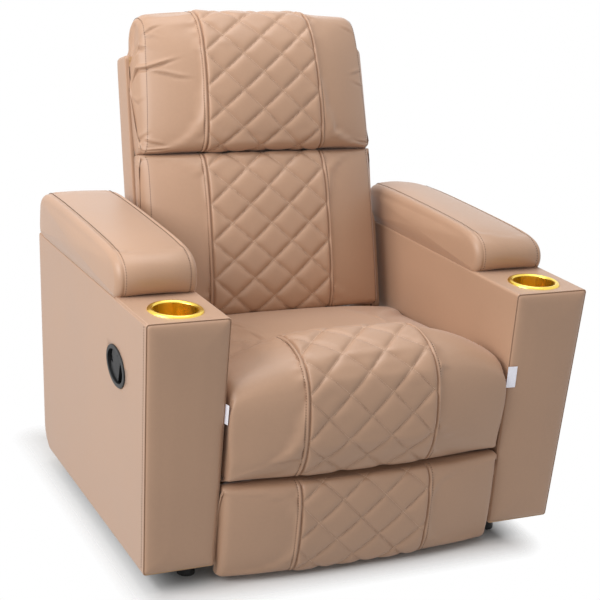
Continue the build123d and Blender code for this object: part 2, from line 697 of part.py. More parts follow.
def back_outline(swell):
    bottom, top = BACK_CUSHION_UPS
    rear = BACK_RAIL_DEEP - STRAP - FIT_GAP
    low = (between((4.0,), (-22.0,), swell)[0], bottom)
    high = (between((6.0,), (-20.0,), swell)[0], top)
    belly = (between((-8.0,), (-64.0,), swell)[0], (bottom + top) / 2)
    front = [ThreePointArc(low, belly, high)]
    rest = [Line(high, (rear, top)), Line((rear, top), (rear, bottom)), Line((rear, bottom), low)]
    return front, rest


def headrest_outline(swell):
    bottom, top = HEADREST_UPS
    rear = BACK_RAIL_DEEP - STRAP - FIT_GAP
    ledge = SHELL_TOP + FIT_GAP
    low = (between((6.0,), (-20.0,), swell)[0], bottom)
    belly = (between((-6.0,), (-64.0,), swell)[0], (bottom + ledge) / 2)
    brow = between((10.0, top - 40.0), (-22.0, top - 20.0), swell)
    peak = between((HEADREST_REAR / 2, top - 8.0), (HEADREST_REAR / 2, top + 12.0), swell)
    nape = (HEADREST_REAR, top - 34.0)
    front = [ThreePointArc(low, belly, brow)]
    rest = [
        ThreePointArc(brow, peak, nape),
        Line(nape, (HEADREST_REAR, ledge)),
        Line((HEADREST_REAR, ledge), (rear, ledge)),
        Line((rear, ledge), (rear, bottom)),
        Line((rear, bottom), low),
    ]
    return front, rest


def cushion(plane, outline, width):
    """Crowned cushion, lofted across the chair through outlines that swell towards its middle."""
    sections = []
    for share in (-1.0, -0.92, -0.75, -0.45, 0.0, 0.45, 0.75, 0.92, 1.0):
        front, rest = outline(swell_at(share))
        sections.append(plane(share * width / 2) * make_face(front + rest))
    return loft(sections)


def quilted(solid, face, low, high, squeeze=1.0):
    """Cushion with channels of one depth sewn into its middle panel: two seams and crossing diagonals."""
    rise = DIAMOND_HEIGHT * squeeze
    turn = degrees(atan2(rise, DIAMOND_WIDTH))
    middle = (low + high) / 2
    rows = int((high - low) / 2 / rise + PANEL_WIDTH / 2 / DIAMOND_WIDTH) + 1
    long = PANEL_WIDTH + high - low
    lines = Sketch()
    for row in range(-rows, rows + 1):
        for slant in (turn, -turn):
            lines += Pos(0, middle + row * rise) * Rot(0, 0, slant) * Rectangle(long, CHANNEL_WIDTH)
    lines &= Pos(0, middle) * Rectangle(PANEL_WIDTH, high - low)
    for side in (-1, 1):
        lines += Pos(side * PANEL_WIDTH / 2, middle) * Rectangle(CHANNEL_WIDTH, high - low)
    lattice = extrude(face * lines, QUILT_REACH, both=True)
    return solid - (lattice - Pos(*(face.z_dir * -CHANNEL_DEPTH)) * solid)


def make_cushions():
    inside = SEAT_WIDTH - 2 * CUSHION_GAP
    margin = CHANNEL_WIDTH

    seat = cushion(side_plane, seat_outline, inside)
    tilt = radians(ROLL_TILT)
    roll = Plane(
        origin=(0, ARM_FRONT + ROLL_CENTRE[0], ROLL_CENTRE[1]),
        x_dir=(1, 0, 0),
        z_dir=(0, -cos(tilt), sin(tilt)),
    )
    nodes["seat_cushion"] = quilted(seat, roll, *ROLL_PANEL, cos(tilt))

    footrest = cushion(side_plane, footrest_outline, inside)
    front = Plane(origin=(0, ARM_FRONT, 0), x_dir=(1, 0, 0), z_dir=(0, -1, 0))
    ends = (FOOTREST_BOTTOM + margin, FOOTREST_TOP - margin)
    nodes["footrest_cushion"] = quilted(footrest, front, *ends)

    upright = back_plane(0)
    front = Plane(origin=upright.origin, x_dir=(1, 0, 0), z_dir=upright.x_dir * -1)
    back = cushion(back_plane, back_outline, BACK_CUSHION_WIDTH)
    ends = (BACK_CUSHION_UPS[0] + margin, BACK_CUSHION_UPS[1] - margin)
    nodes["back_cushion"] = quilted(back, front, *ends)
    headrest = cushion(back_plane, headrest_outline, BACK_CUSHION_WIDTH)
    ends = (HEADREST_UPS[0] + margin, HEADREST_UPS[1] - HEADREST_BROW)
    nodes["headrest_cushion"] = quilted(headrest, front, *ends)


make_arms()
make_pads()
make_cups()
make_feet()
make_tags()
make_handle()
make_base()
make_seat_carrier()
make_footrest_linkage()
make_seat_frame()
make_back_frame()
make_back_shell()
make_cushions()

os.makedirs("parts", exist_ok=True)
for name, shape in nodes.items():
    export_step(shape, f"parts/{name}.step")
print(len(nodes), "nodes")
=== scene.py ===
import json
import math

import bpy
import numpy as np
from mathutils import Matrix, Vector


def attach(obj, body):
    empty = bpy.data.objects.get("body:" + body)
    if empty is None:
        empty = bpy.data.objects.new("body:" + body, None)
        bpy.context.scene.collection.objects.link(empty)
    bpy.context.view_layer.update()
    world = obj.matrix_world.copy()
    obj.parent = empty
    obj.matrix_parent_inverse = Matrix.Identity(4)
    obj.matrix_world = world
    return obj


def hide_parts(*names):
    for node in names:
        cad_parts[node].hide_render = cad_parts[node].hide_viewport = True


# A manual recliner: quilted cushions, padded box arms, cup holders and a recessed pull handle.
# Metres, +Z up, the chair faces -Y, the sitter's right hand is at -X.

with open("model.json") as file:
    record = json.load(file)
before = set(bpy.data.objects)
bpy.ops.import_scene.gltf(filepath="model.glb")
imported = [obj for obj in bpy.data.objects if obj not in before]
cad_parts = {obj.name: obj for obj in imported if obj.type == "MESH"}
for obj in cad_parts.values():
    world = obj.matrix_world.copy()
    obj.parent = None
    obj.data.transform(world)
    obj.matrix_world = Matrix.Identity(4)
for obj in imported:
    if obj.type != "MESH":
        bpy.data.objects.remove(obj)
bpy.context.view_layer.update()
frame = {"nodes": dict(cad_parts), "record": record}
MM = 0.001
TINY = 1e-12

# Layout, as in the part's source
ARM_FRONT = -366 * MM
HALF_SEAT = 315 * MM
ARM_WIDTH = 169 * MM
ARM_TOP = 554 * MM
ARM_BOTTOM = 40 * MM
ARM_DEPTH = 675 * MM
ARM_LEAN = 22 * MM
ARM_REAR_LEAN = 30 * MM
ARM_HEEL = 50 * MM
DECK_TILT = math.radians(2.1)
ARM_MIDDLE = HALF_SEAT + ARM_WIDTH / 2
BACK_LEAN = math.radians(18)
BACK_FOOT = (469 * MM, 300 * MM)
CUP_BACK = 74 * MM
CUP_HOLE = 46 * MM
HANDLE_BACK = 163 * MM
HANDLE_HEIGHT = 412 * MM
HANDLE_TILT = math.radians(-12.8)
HANDLE_HOLE = (47 * MM, 34.5 * MM)


# Shader nodes

NOISE_VALUES = (0.3, 0.7)


class Wire:
    """One output of a shader's node, with arithmetic."""

    def __init__(self, tree, out):
        self.tree = tree
        self.out = out

    def node(self, kind, output=0, settings=None, **inputs):
        """A new node of a kind, with settings, whose named inputs are wires or plain values."""
        made = self.tree.nodes.new(kind)
        for key, value in (settings or {}).items():
            setattr(made, key, value)
        for key, value in inputs.items():
            place = int(key[1:]) if key[0] == "_" else key.replace("_", " ")
            self.plug(made.inputs[place], value)
        return Wire(self.tree, made.outputs[output])

    def plug(self, socket, value):
        if isinstance(value, Wire):
            self.tree.links.new(value.out, socket)
        else:
            socket.default_value = value

    def __add__(self, other):
        return self.node("ShaderNodeMath", settings={"operation": "ADD"}, _0=self, _1=other)

    def __mul__(self, other):
        return self.node("ShaderNodeMath", settings={"operation": "MULTIPLY"}, _0=self, _1=other)

    def vector(self, operation, *others, output=0):
        inputs = {f"_{place}": value for place, value in enumerate((self, *others))}
        return self.node("ShaderNodeVectorMath", output, {"operation": operation}, **inputs)

    def clamp(self, low, high, new_low=0.0, new_high=1.0):
        return self.node("ShaderNodeMapRange", Value=self, From_Min=low, From_Max=high,
                         To_Min=new_low, To_Max=new_high)

    def spread(self, low=0.0, high=1.0):
        """A noise's usual values, stretched over a range."""
        return self.clamp(*NOISE_VALUES, low, high)


class Finish:
    """A material with a principled shader and the object's own coordinates."""

    def __init__(self, name, **constants):
        self.material = bpy.data.materials.new(name)
        self.material.use_nodes = True
        self.tree = self.material.node_tree
        self.shader = self.tree.nodes["Principled BSDF"]
        for key, value in constants.items():
            self.shader.inputs[key.replace("_", " ")].default_value = value
        place = self.tree.nodes.new("ShaderNodeTexCoord")
        self.place = Wire(self.tree, place.outputs["Object"])

    def noise(self, scale, detail=2.0, roughness=0.5, stretch=None):
        place = self.place
        if stretch:
            place = place.node("ShaderNodeMapping", Vector=place, Scale=stretch)
        return place.node("ShaderNodeTexNoise", Vector=place, Scale=scale, Detail=detail, Roughness=roughness)

    def cells(self, scale):
        return self.place.node("ShaderNodeTexVoronoi", "Distance", Vector=self.place, Scale=scale)

    def tones(self, factor, dark, light):
        mix = self.tree.nodes.new("ShaderNodeMix")
        mix.data_type = "RGBA"
        self.place.plug(mix.inputs["Factor"], factor)
        mix.inputs["A"].default_value = (*dark, 1)
        mix.inputs["B"].default_value = (*light, 1)
        return Wire(self.tree, next(out for out in mix.outputs if out.type == "RGBA"))

    def colour(self, wire):
        self.place.plug(self.shader.inputs["Base Color"], wire)

    def rough(self, wire):
        self.place.plug(self.shader.inputs["Roughness"], wire)

    def bump(self, height, strength, distance):
        relief = self.place.node("ShaderNodeBump", Height=height, Strength=strength, Distance=distance)
        self.place.plug(self.shader.inputs["Normal"], relief)


def shade(colour, factor):
    return tuple(channel * factor for channel in colour)


def leather(name, colour):
    """Tan upholstery leather: fine pebbled grain, soft blotches and a satin top coat."""
    made = Finish(name, Specular_IOR_Level=0.5, Coat_Weight=0.05, Coat_Roughness=0.35,
                  Sheen_Weight=0.22, Sheen_Roughness=0.35)
    blotch = made.noise(5.0, 3.0)
    pores = made.cells(950.0)
    creases = made.noise(140.0, 4.0, 0.6)
    mottle = (blotch * 0.7 + creases * 0.3).spread()
    made.colour(made.tones(mottle, shade(colour, 0.95), shade(colour, 1.05)))
    made.rough((creases * 0.5 + blotch * 0.5).spread(0.38, 0.50))
    made.bump(pores * 0.6 + creases * 0.8, 0.16, 0.0006)
    return made.material


def thread(name, colour):
    made = Finish(name, Roughness=0.6, Specular_IOR_Level=0.3)
    twist = made.noise(1500.0, 1.0)
    made.colour(made.tones(twist, shade(colour, 0.85), colour))
    made.bump(twist, 0.2, 0.0003)
    return made.material


def gold(name):
    """Gold plate over a spun cup, with faint bands down its wall."""
    made = Finish(name, Metallic=1.0)
    turned = made.noise(3.0, 1.0, stretch=(14, 14, 2))
    made.colour(made.tones(made.noise(9.0), (0.93, 0.66, 0.10), (0.97, 0.73, 0.15)))
    made.rough(turned.spread(0.22, 0.32))
    made.bump(turned, 0.05, 0.0004)
    return made.material


def plastic(name, colour, rough):
    made = Finish(name, Specular_IOR_Level=0.45)
    grain = made.cells(1400.0)
    patch = made.noise(40.0)
    made.colour(made.tones(patch, shade(colour, 0.85), shade(colour, 1.15)))
    made.rough(patch.spread(rough - 0.05, rough + 0.05))
    made.bump(grain, 0.12, 0.0003)
    return made.material


def coated_steel(name, colour, rough, metallic):
    made = Finish(name, Metallic=metallic)
    peel = made.noise(420.0, 2.0)
    patch = made.noise(16.0, 3.0)
    made.colour(made.tones(patch, shade(colour, 0.82), shade(colour, 1.1)))
    made.rough(patch.spread(rough - 0.07, rough + 0.07))
    made.bump(peel, 0.10, 0.0004)
    return made.material


def wood(name, dark, light, stretch):
    """Sawn wood: long grain along the piece and fine pores."""
    made = Finish(name, Specular_IOR_Level=0.3)
    grain = made.noise(30.0, 6.0, 0.6, stretch)
    made.colour(made.tones(grain.clamp(0.32, 0.68), dark, light))
    made.rough(grain.spread(0.62, 0.78))
    made.bump(grain, 0.25, 0.0008)
    return made.material


# Bluish tint of the painted glow that lightens the tags where they lie in shade
PAINTED_GLOW_TINT = (0.72, 0.74, 1.0, 1)


def woven(name, dark, light, pitch, glow=0.0):
    """Woven tape; glow is the strength of a painted glow that lightens the tape where it lies in shade."""
    made = Finish(name, Roughness=0.85, Specular_IOR_Level=0.2, Emission_Color=PAINTED_GLOW_TINT,
                  Emission_Strength=glow)
    across, along = (made.place.node("ShaderNodeTexWave", "Fac", {"bands_direction": axis}, Vector=made.place,
                                     Scale=pitch) for axis in "XZ")
    weave = across * along
    made.colour(made.tones(weave, dark, light))
    made.bump(weave, 0.4, 0.0005)
    return made.material


FINISHES = {
    "leather": leather("tan_leather", (0.455, 0.279, 0.182)),
    "plywood": wood("plywood", (0.42, 0.27, 0.13), (0.62, 0.43, 0.24), (1, 9, 1)),
    "timber": wood("timber", (0.36, 0.22, 0.11), (0.58, 0.39, 0.22), (0.3, 6, 6)),
    "webbing": woven("webbing", (0.015, 0.014, 0.013), (0.06, 0.055, 0.05), 900.0),
    "gold_cup": gold("gold_plate"),
    "handle_black": plastic("handle_plastic", (0.007, 0.0073, 0.008), 0.5),
    "foot_black": plastic("foot_plastic", (0.012, 0.012, 0.012), 0.55),
    # The tags' tape glows a little: painted light that keeps it white where it lies in shade
    "tag": woven("tag_tape", (0.88, 0.88, 0.92), (0.96, 0.96, 0.98), 1600.0, 0.16),
    "zinc": coated_steel("zinc_plate", (0.62, 0.61, 0.58), 0.32, 1.0),
    "black_steel": coated_steel("black_steel", (0.03, 0.03, 0.033), 0.42, 0.0),
}
THREADS = {
    "quilting": thread("tan_thread", (0.72, 0.52, 0.38)),
    "topstitching": thread("brown_thread", (0.08, 0.040, 0.025)),
}


def dress_frame():
    """The finish of every node that comes from the frame as it is."""
    for part in frame["record"]["subparts"]:
        piece = frame["nodes"][part["node"]]
        piece.data.materials.clear()
        piece.data.materials.append(FINISHES[part["material_slot"]])


# Mesh building

def add_object(name, data):
    made = bpy.data.objects.new(name, data)
    bpy.context.scene.collection.objects.link(made)
    return made


def add_mesh(name, points, faces):
    mesh = bpy.data.meshes.new(name)
    mesh.from_pydata(points, [], faces)
    return add_object(name, mesh)


def new_piece(name, points, faces, finish, body):
    """A smooth piece of the chair that moves with a body."""
    piece = add_mesh(name, points, faces)
    piece.data.materials.append(finish)
    piece.data.polygons.foreach_set("use_smooth", [True] * len(faces))
    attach(piece, body)
    return piece


def upholster(node):
    """Hides the node whose soft form a leather piece stands for."""
    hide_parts(node)


def closed_faces(count, around):
    """Faces of a grid of closed rings, with a cap at both ends."""
    grid = np.arange(count * around).reshape(count, around)
    after = np.roll(grid, -1, 1)
    quads = np.stack([grid[:-1], after[:-1], after[1:], grid[1:]], -1).reshape(-1, 4)
    return quads.tolist() + [grid[0].tolist()[::-1], grid[-1].tolist()]


def upright(across, flat):
    """Places (back, height) outlines at distances across the chair."""
    return np.stack([across, ARM_FRONT + flat[..., 0], flat[..., 1]], -1)


def on_deck(across, flat):
    """Places (back, height) outlines on the arms' tops, which fall towards the rear."""
    rise, run = math.cos(DECK_TILT), math.sin(DECK_TILT)
    lift = flat[..., 1] - ARM_TOP
    back = ARM_FRONT + flat[..., 0] * rise + lift * run
    return np.stack([across, back, ARM_TOP - flat[..., 0] * run + lift * rise], -1)


def leaning(across, flat):
    """Places (deep, up) outlines of the leaning back at distances across the chair."""
    rise, run = math.cos(BACK_LEAN), math.sin(BACK_LEAN)
    back = ARM_FRONT + BACK_FOOT[0] + flat[..., 0] * rise + flat[..., 1] * run
    return np.stack([across, back, BACK_FOOT[1] + flat[..., 1] * rise - flat[..., 0] * run], -1)


def spline(corners, places):
    """Points of the closed quadratic B-spline of a row of corners, at places counted in corners."""
    count = len(corners)
    first = np.floor(places).astype(int)
    t = (places - first)[:, None]
    before, here, after = (corners[(first + step) % count] for step in (-1, 0, 1))
    return 0.5 * (1 - t) ** 2 * before + (0.5 + t - t * t) * here + 0.5 * t * t * after


OUTLINE_SAMPLES = 4001


def even_places(corners, step_at):
    """Places along a closed outline whose spacing follows step_at(place), and their distances along it."""
    fine = np.linspace(0, len(corners), OUTLINE_SAMPLES)
    points = spline(corners, fine)
    length = np.hypot(*np.diff(points, axis=0).T)
    middle = (fine[:-1] + fine[1:]) / 2
    ticks = np.concatenate([[0], np.cumsum(length / np.array([step_at(place) for place in middle]))])
    count = int(round(ticks[-1]))
    places = np.interp(np.linspace(0, ticks[-1], count, endpoint=False), ticks, fine)
    run = np.interp(places, fine, np.concatenate([[0], np.cumsum(length)]))
    return places, run


def resample(values, idx, wrap):
    """Cubic interpolation of the first axis of an array at fractional indices."""
    count = len(values)
    first = np.floor(idx).astype(int)
    t = (idx - first).reshape((-1,) + (1,) * (values.ndim - 1))
    near = []
    for step in (-1, 0, 1, 2):
        place = first + step
        near.append(values[place % count if wrap else np.clip(place, 0, count - 1)])
    a, b, c, d = near
    return b + 0.5 * t * (c - a + t * (2 * a - 5 * b + 4 * c - d + t * (3 * (b - c) + d - a)))


def bump_at(distance, width):
    return np.exp(-((distance / width) ** 2))


def unit(vectors):
    """Vectors along the last axis of an array, made one long."""
    return vectors / np.maximum(np.linalg.norm(vectors, axis=-1, keepdims=True), TINY)


def inward(flat):
    """Directions square to a closed flat outline, towards its inside."""
    after = np.roll(flat, -1, 0)
    along = after - np.roll(flat, 1, 0)
    along /= np.maximum(np.hypot(*along.T), TINY)[:, None]
    turn = np.sign(np.sum(flat[:, 0] * after[:, 1] - flat[:, 1] * after[:, 0]))
    return turn * np.stack([-along[:, 1], along[:, 0]], 1)


# Rows of a cushion: reach of the close ones inside and outside a panel's edge, or from the sides of a form
# without a panel, turns around the rounded sides, and shares of the outline and spacing of the caps' rows
PANEL_INSIDE, PANEL_OUTSIDE = 7 * MM, 14 * MM
SIDE_CLOSE = (24 * MM, 3 * MM)
SIDE_TURNS = np.radians((18, 36, 54, 72, 90))
CAP_SHARES = (0.86, 0.66, 0.42, 0.2, 0.05)
CAP_STEP = 12 * MM

# Places over which a side's radius falls to its share at a sharp edge
SQUARE_FADE = 0.6

# Where a cushion tapers: its front, over a depth, and its top, over a height
TAPER_DEPTH, TAPER_REACH = 30 * MM, 36 * MM
TAPER_HEIGHT, TAPER_RISE = 640 * MM, 20 * MM

# Where a cushion flares: ahead of the arms' fronts, whole from a share of its height, less below
FLARE_DEPTH, FLARE_REACH = -3 * MM, 10 * MM
FLARE_LIFT, FLARE_LEAST, FLARE_POWER = 0.55, 0.35, 5

# Spacing of the coarse skin that the cloth simulation swells, the share of the form's swell that it starts
# with, and the share of the simulation's swelling left on a quilted panel
SKIN_AROUND = 13 * MM
SKIN_ACROSS = (14 * MM, 16 * MM)
SLACK_SHARE = 0.97
QUILTED_SHARE = 0.4


class Bag:
    """A closed cushion form: outlines across the chair that swell towards its middle, with rounded sides.

    edge and middle are the corners of its outline at its sides and in its middle, in millimetres.
    Places along the outline count those corners.

    draw, power: how the swelling falls towards the sides
    fine, steps: the places with close points, and the close and wide spacing along the outline
    cross: spacing across the form, inside and outside its panel
    square: the places where the sides keep sharp edges, and the share of their radius left
    corners: radii of the front's lower and upper corners
    taper, flare: how the form narrows towards its top and widens ahead of the arms
    wings: extra width below a height, and the height above which there is none
    """

    def __init__(self, place, edge, middle, half, centre=0.0, side_radius=14.0, draw=0.15, power=3.0,
                 fine=(0, 0), steps=(3.0, 12.0), cross=(3.0, 8.0), side_swell=3.0, taper=0.0,
                 square=None, corners=(0.0, 0.0), panel=None, flare=0.0, wings=None):
        self.place = place
        self.edge = np.array(edge, float) * MM
        self.middle = np.array(middle, float) * MM
        self.half = half * MM
        self.centre = centre * MM
        self.radius = side_radius * MM
        self.draw = draw
        self.power = power
        self.fine = fine
        self.steps = steps
        self.cross = cross
        self.side_swell = side_swell * MM
        self.taper = taper
        self.square = square
        self.corners = corners
        self.flare = flare * MM
        self.wings = [size * MM for size in wings] if wings else None
        self.panel = [edge * MM for edge in panel] if panel else None

    def stations(self, inner, outer):
        """Rows across the form: (place along the row, x, inset of the outline, share of the cap left)."""
        edges = self.panel or (-self.half, self.half)
        other = self.half_row(-edges[0], inner, outer)
        mirrored = [(-q, -x, inset, share) for q, x, inset, share in other[:0:-1]]
        return np.array(mirrored + self.half_row(edges[1], inner, outer))

    def half_row(self, edge, inner, outer):
        """Stations of one half of the form from its middle, close together around a panel's edge."""
        flat = self.half - self.radius
        near, far = edge - PANEL_INSIDE, edge + PANEL_OUTSIDE
        if far > flat:
            near, far = (flat - reach for reach in SIDE_CLOSE)
        close = MM if inner < 5 * MM else inner / 3
        rows = []
        for start, end, step in ((0, near, inner), (near, far, close), (far, flat, outer)):
            rows.append(np.linspace(start, end, max(2, int(round((end - start) / step))), endpoint=False))
        rows.append([flat])
        side = [(x, x, 0.0, 1.0) for x in np.concatenate(rows)]
        for turn in SIDE_TURNS:
            x = flat + self.radius * math.sin(turn)
            side.append((flat + self.radius * turn, x, self.radius * (1 - math.cos(turn)), 1.0))
        start = flat + self.radius * math.pi / 2
        for step, share in enumerate(CAP_SHARES, 1):
            x = self.half + self.side_swell * (1 - share**2)
            side.append((start + step * CAP_STEP, x, self.radius, share))
        return side

    def shape(self, rows, places, swell_share=1.0):
        """Points of the form, for rows of stations and places along the outline."""
        out = []
        for _, x, inset, share in rows:
            reach = min(abs(x) / self.half, 1.0)
            swell = 1 - (1 + self.draw) * reach**self.power
            corners = self.edge + (self.middle - self.edge) * swell * swell_share
            flat = spline(corners, places)
            if inset:
                flat = flat + inset * self.roundness(places) * inward(flat)
            self.round_corners(flat, x, inset)
            if share < 1:
                middle = (flat.max(0) + flat.min(0)) / 2
                flat = middle + (flat - middle) * share
            lift = (flat[:, 1] - corners[:, 1].min()) / np.ptp(corners[:, 1])
            out.append(self.place(self.across(x, flat, lift), flat))
        return np.array(out)

    def across(self, x, flat, lift):
        """Distances across the chair of an outline's points; lift is their share of its height."""
        ahead = np.clip((TAPER_DEPTH - flat[:, 0]) / TAPER_REACH, 0, 1)
        above = np.clip((flat[:, 1] - TAPER_HEIGHT) / TAPER_RISE, 0, 1)
        across = self.centre + x * (1 - self.taper * lift * np.maximum(ahead, above))
        past = np.clip((FLARE_DEPTH - flat[:, 0]) / FLARE_REACH, 0, 1)
        past *= np.clip(lift / FLARE_LIFT, FLARE_LEAST, 1)
        across += self.flare * past * (x / self.half) ** FLARE_POWER
        if self.wings:
            wide, low, high = self.wings
            share = np.clip((high - flat[:, 1]) / (high - low), 0, 1)
            across += wide * share**2 * (3 - 2 * share) * x / self.half
        return across

    def round_corners(self, flat, x, inset):
        """Draws the lower and upper thirds of an outline in at the round corners of the form's front."""
        low, high = flat[:, 1].min(), flat[:, 1].max()
        third = (high - low) / 3
        lower, upper = (self.cut_corner(x, inset, radius) for radius in self.corners)
        flat[:, 1] += lower * np.clip((low + third - flat[:, 1]) / third, 0, 1)
        flat[:, 1] -= upper * np.clip((flat[:, 1] - high + third) / third, 0, 1)

    def cut_corner(self, x, inset, radius):
        """How far a round corner draws the outline in at x, beyond the inset of the form's sides."""
        radius *= MM
        past = np.clip(abs(x) - self.half + radius, 0, radius)
        return max(radius - math.sqrt(radius**2 - past**2) - inset, 0)

    def roundness(self, places):
        """Share of the side radius at places along the outline."""
        if self.square is None:
            return np.ones((len(places), 1))
        first, last, left = self.square
        stretch = (first - SQUARE_FADE, first, last, last + SQUARE_FADE)
        return np.interp(places, stretch, (1, left, left, 1), period=len(self.edge))[:, None]

    def build(self, held=None, cap=0.0):
        """Works out the form, which its filling swells up to a cap where held(x, place) is false."""
        low, high = self.fine
        close, wide = (step * MM for step in self.steps)
        self.places, self.run = even_places(
            self.middle, lambda place: close if low <= place <= high else wide)
        self.rows = self.stations(*(step * MM for step in self.cross))
        self.points = self.shape(self.rows, self.places)
        if held is not None:
            self.points += self.swelling(held, cap * MM)
        self.refresh()
        # Of every point: x across the form, q over the skin from its middle, and s along the outline
        self.q, self.s = np.meshgrid(self.rows[:, 0], self.run, indexing="ij")
        self.x = np.meshgrid(self.rows[:, 1], self.run, indexing="ij")[0]

    def swelling(self, held, cap):
        """How far a cloth skin under the filling's pressure moves each point, held along its seams."""
        places, _ = even_places(self.middle, lambda place: SKIN_AROUND)
        rows = self.stations(*SKIN_ACROSS)
        start = self.shape(rows, places, SLACK_SHARE)
        rest = self.shape(rows, places)
        fixed = held(*np.meshgrid(rows[:, 1], places, indexing="ij"))
        moved = simulate(start, fixed) - start
        far = np.linalg.norm(moved, axis=2, keepdims=True)
        moved *= np.minimum(1, cap / np.maximum(far, TINY))
        if self.panel:
            quilted = (rows[:, 1] > self.panel[0]) & (rows[:, 1] < self.panel[1])
            moved *= np.where(quilted, QUILTED_SHARE, 1.0)[:, None, None]
        moved += start - rest
        idx = np.interp(self.rows[:, 0], rows[:, 0], np.arange(len(rows)))
        moved = resample(moved, idx, False)
        idx = np.interp(self.places, np.append(places, len(self.middle)), np.arange(len(places) + 1))
        return resample(moved.swapaxes(0, 1), idx, True).swapaxes(0, 1)

    def refresh(self):
        """Works out the normals of the points."""
        across = np.gradient(self.points, axis=0)
        around = np.roll(self.points, -1, 1) - np.roll(self.points, 1, 1)
        normal = unit(np.cross(around, across))
        outward = ((self.points - self.points.mean((0, 1))) * normal).sum()
        self.normal = normal * np.sign(outward)

    def push(self, distance):
        """Moves every point along its normal."""
        self.points = self.points + self.normal * distance[..., None]
        self.refresh()

    def at(self, x, place):
        """Point and normal at distances across and places along the outline."""
        return self.at_run(np.interp(x, self.rows[:, 1], self.rows[:, 0]), place)

    def at_run(self, run, place):
        """Point and normal at distances over the skin from its middle and places along the outline."""
        row = np.interp(run, self.rows[:, 0], np.arange(len(self.rows)))
        column = np.interp(place, self.places, np.arange(len(self.places)))
        i, j = np.floor(row).astype(int), np.floor(column).astype(int)
        u, v = (row - i)[:, None], (column - j)[:, None]
        i1 = np.minimum(i + 1, len(self.rows) - 1)
        j1 = (j + 1) % len(self.places)
        found = []
        for field in (self.points, self.normal):
            near = field[i, j] * (1 - u) * (1 - v) + field[i1, j] * u * (1 - v)
            found.append(near + field[i, j1] * (1 - u) * v + field[i1, j1] * u * v)
        return found

    def piece(self, name, body, node, fill=0.7):
        faces = closed_faces(*self.points.shape[:2])
        made = new_piece(name, self.points.reshape(-1, 3), faces, FINISHES["leather"], body)
        upholster(node)


CLOTH_FRAMES = 20
CLOTH = {
    "quality": 6, "mass": 0.3, "tension_stiffness": 18, "compression_stiffness": 18, "shear_stiffness": 10,
    "bending_stiffness": 1.2, "vertex_group_mass": "fixed", "use_pressure": True,
    "uniform_pressure_force": 4.0,
}


def simulate(points, fixed):
    """Points of a closed cloth skin after it settles under pressure, with some points fixed."""
    scene = bpy.context.scene
    skin = add_mesh("skin", points.reshape(-1, 3), closed_faces(*points.shape[:2]))
    group = skin.vertex_groups.new(name="fixed")
    group.add(np.flatnonzero(fixed.reshape(-1)).tolist(), 1.0, "REPLACE")
    cloth = skin.modifiers.new("cloth", "CLOTH")
    for key, value in CLOTH.items():
        setattr(cloth.settings, key, value)
    cloth.settings.effector_weights.gravity = 0
    cloth.point_cache.frame_start = 1
    cloth.point_cache.frame_end = CLOTH_FRAMES
    for step in range(1, CLOTH_FRAMES + 1):
        scene.frame_set(step)
    shown = skin.evaluated_get(bpy.context.evaluated_depsgraph_get())
    settled = np.empty(points.size)
    shown.data.vertices.foreach_get("co", settled)
    scene.frame_set(1)
    bpy.data.objects.remove(skin)
    return settled.reshape(points.shape)


# Stitches

# A stitch is a capsule of three rings: each ring's place along it, in lengths, and its share of the radius
STITCH_SIDES = 5
STITCH_RINGS = ((-0.5, 0.45), (0.0, 1.0), (0.5, 0.45))
STITCH_FACES = closed_faces(len(STITCH_RINGS), STITCH_SIDES)
SEAM_POINTS, WELT_POINTS, DIAGONAL_POINTS, SIDE_POINTS = 160, 90, 60, 120
stitch_sets = {}


def sew(body, points, normals, kind="topstitching", pitch=5.4, length=2.2, radius=1.05, lift=0.4):
    """Adds a row of stitches along points of a surface to a body's thread; their sizes are in millimetres."""
    step = np.linalg.norm(np.diff(points, axis=0), axis=1)
    run = np.concatenate([[0], np.cumsum(step)])
    spots = np.arange(pitch / 2 * MM, run[-1], pitch * MM)

    def look(field, where):
        return np.stack([np.interp(where, run, field[:, axis]) for axis in range(3)], 1)

    along = unit(look(points, spots + MM) - look(points, spots - MM))
    up = look(normals, spots)
    up = unit(up - along * (up * along).sum(1, keepdims=True))
    side = np.cross(along, up)
    base = look(points, spots) + up * lift * MM
    rings = []
    for shift, size in STITCH_RINGS:
        middle = base + along * shift * length * MM - up * (abs(shift) * radius * MM)
        for turn in np.radians(np.arange(STITCH_SIDES) * 360 / STITCH_SIDES):
            rings.append(middle + (side * math.cos(turn) + up * math.sin(turn)) * radius * size * MM)
    sewn, faces = stitch_sets.setdefault((body, kind), ([], []))
    for stitch in np.stack(rings, 1):
        first = len(sewn)
        sewn.extend(stitch.tolist())
        faces.extend([first + corner for corner in face] for face in STITCH_FACES)


def make_threads():
    for (body, kind), (points, faces) in stitch_sets.items():
        made = new_piece(f"{body}_{kind}", points, faces, THREADS[kind], body)


# Quilted cushions

# Height of the quilts and depth of the seams between them, in millimetres, and how steep they are
QUILT_PUFF, QUILT_STEEP = 4.6, 5.0
QUILT_SEAM, SEAM_STEEP = 1.2, 8

# Lengths over which the quilts rise from the panel's sides and its two ends, and the thread's gap to the ends
PANEL_RISE = 22 * MM
PANEL_FADES = (24 * MM, 16 * MM)
PANEL_GAP = 2 * MM

# The seam, the welt and the row of topstitching beside a panel: height, distance outside it and width
WELTS = ((-3.8, 0.0, 1.7), (1.6, 4.6, 2.8), (-1.1, 9.0, 1.5))
WELT_STITCHES = 9 * MM


def rise(distance, reach):
    """Rises from 0 to 1 over a reach, steep at first."""
    return 1 - (1 - np.clip(distance / reach, 0, 1)) ** QUILT_STEEP


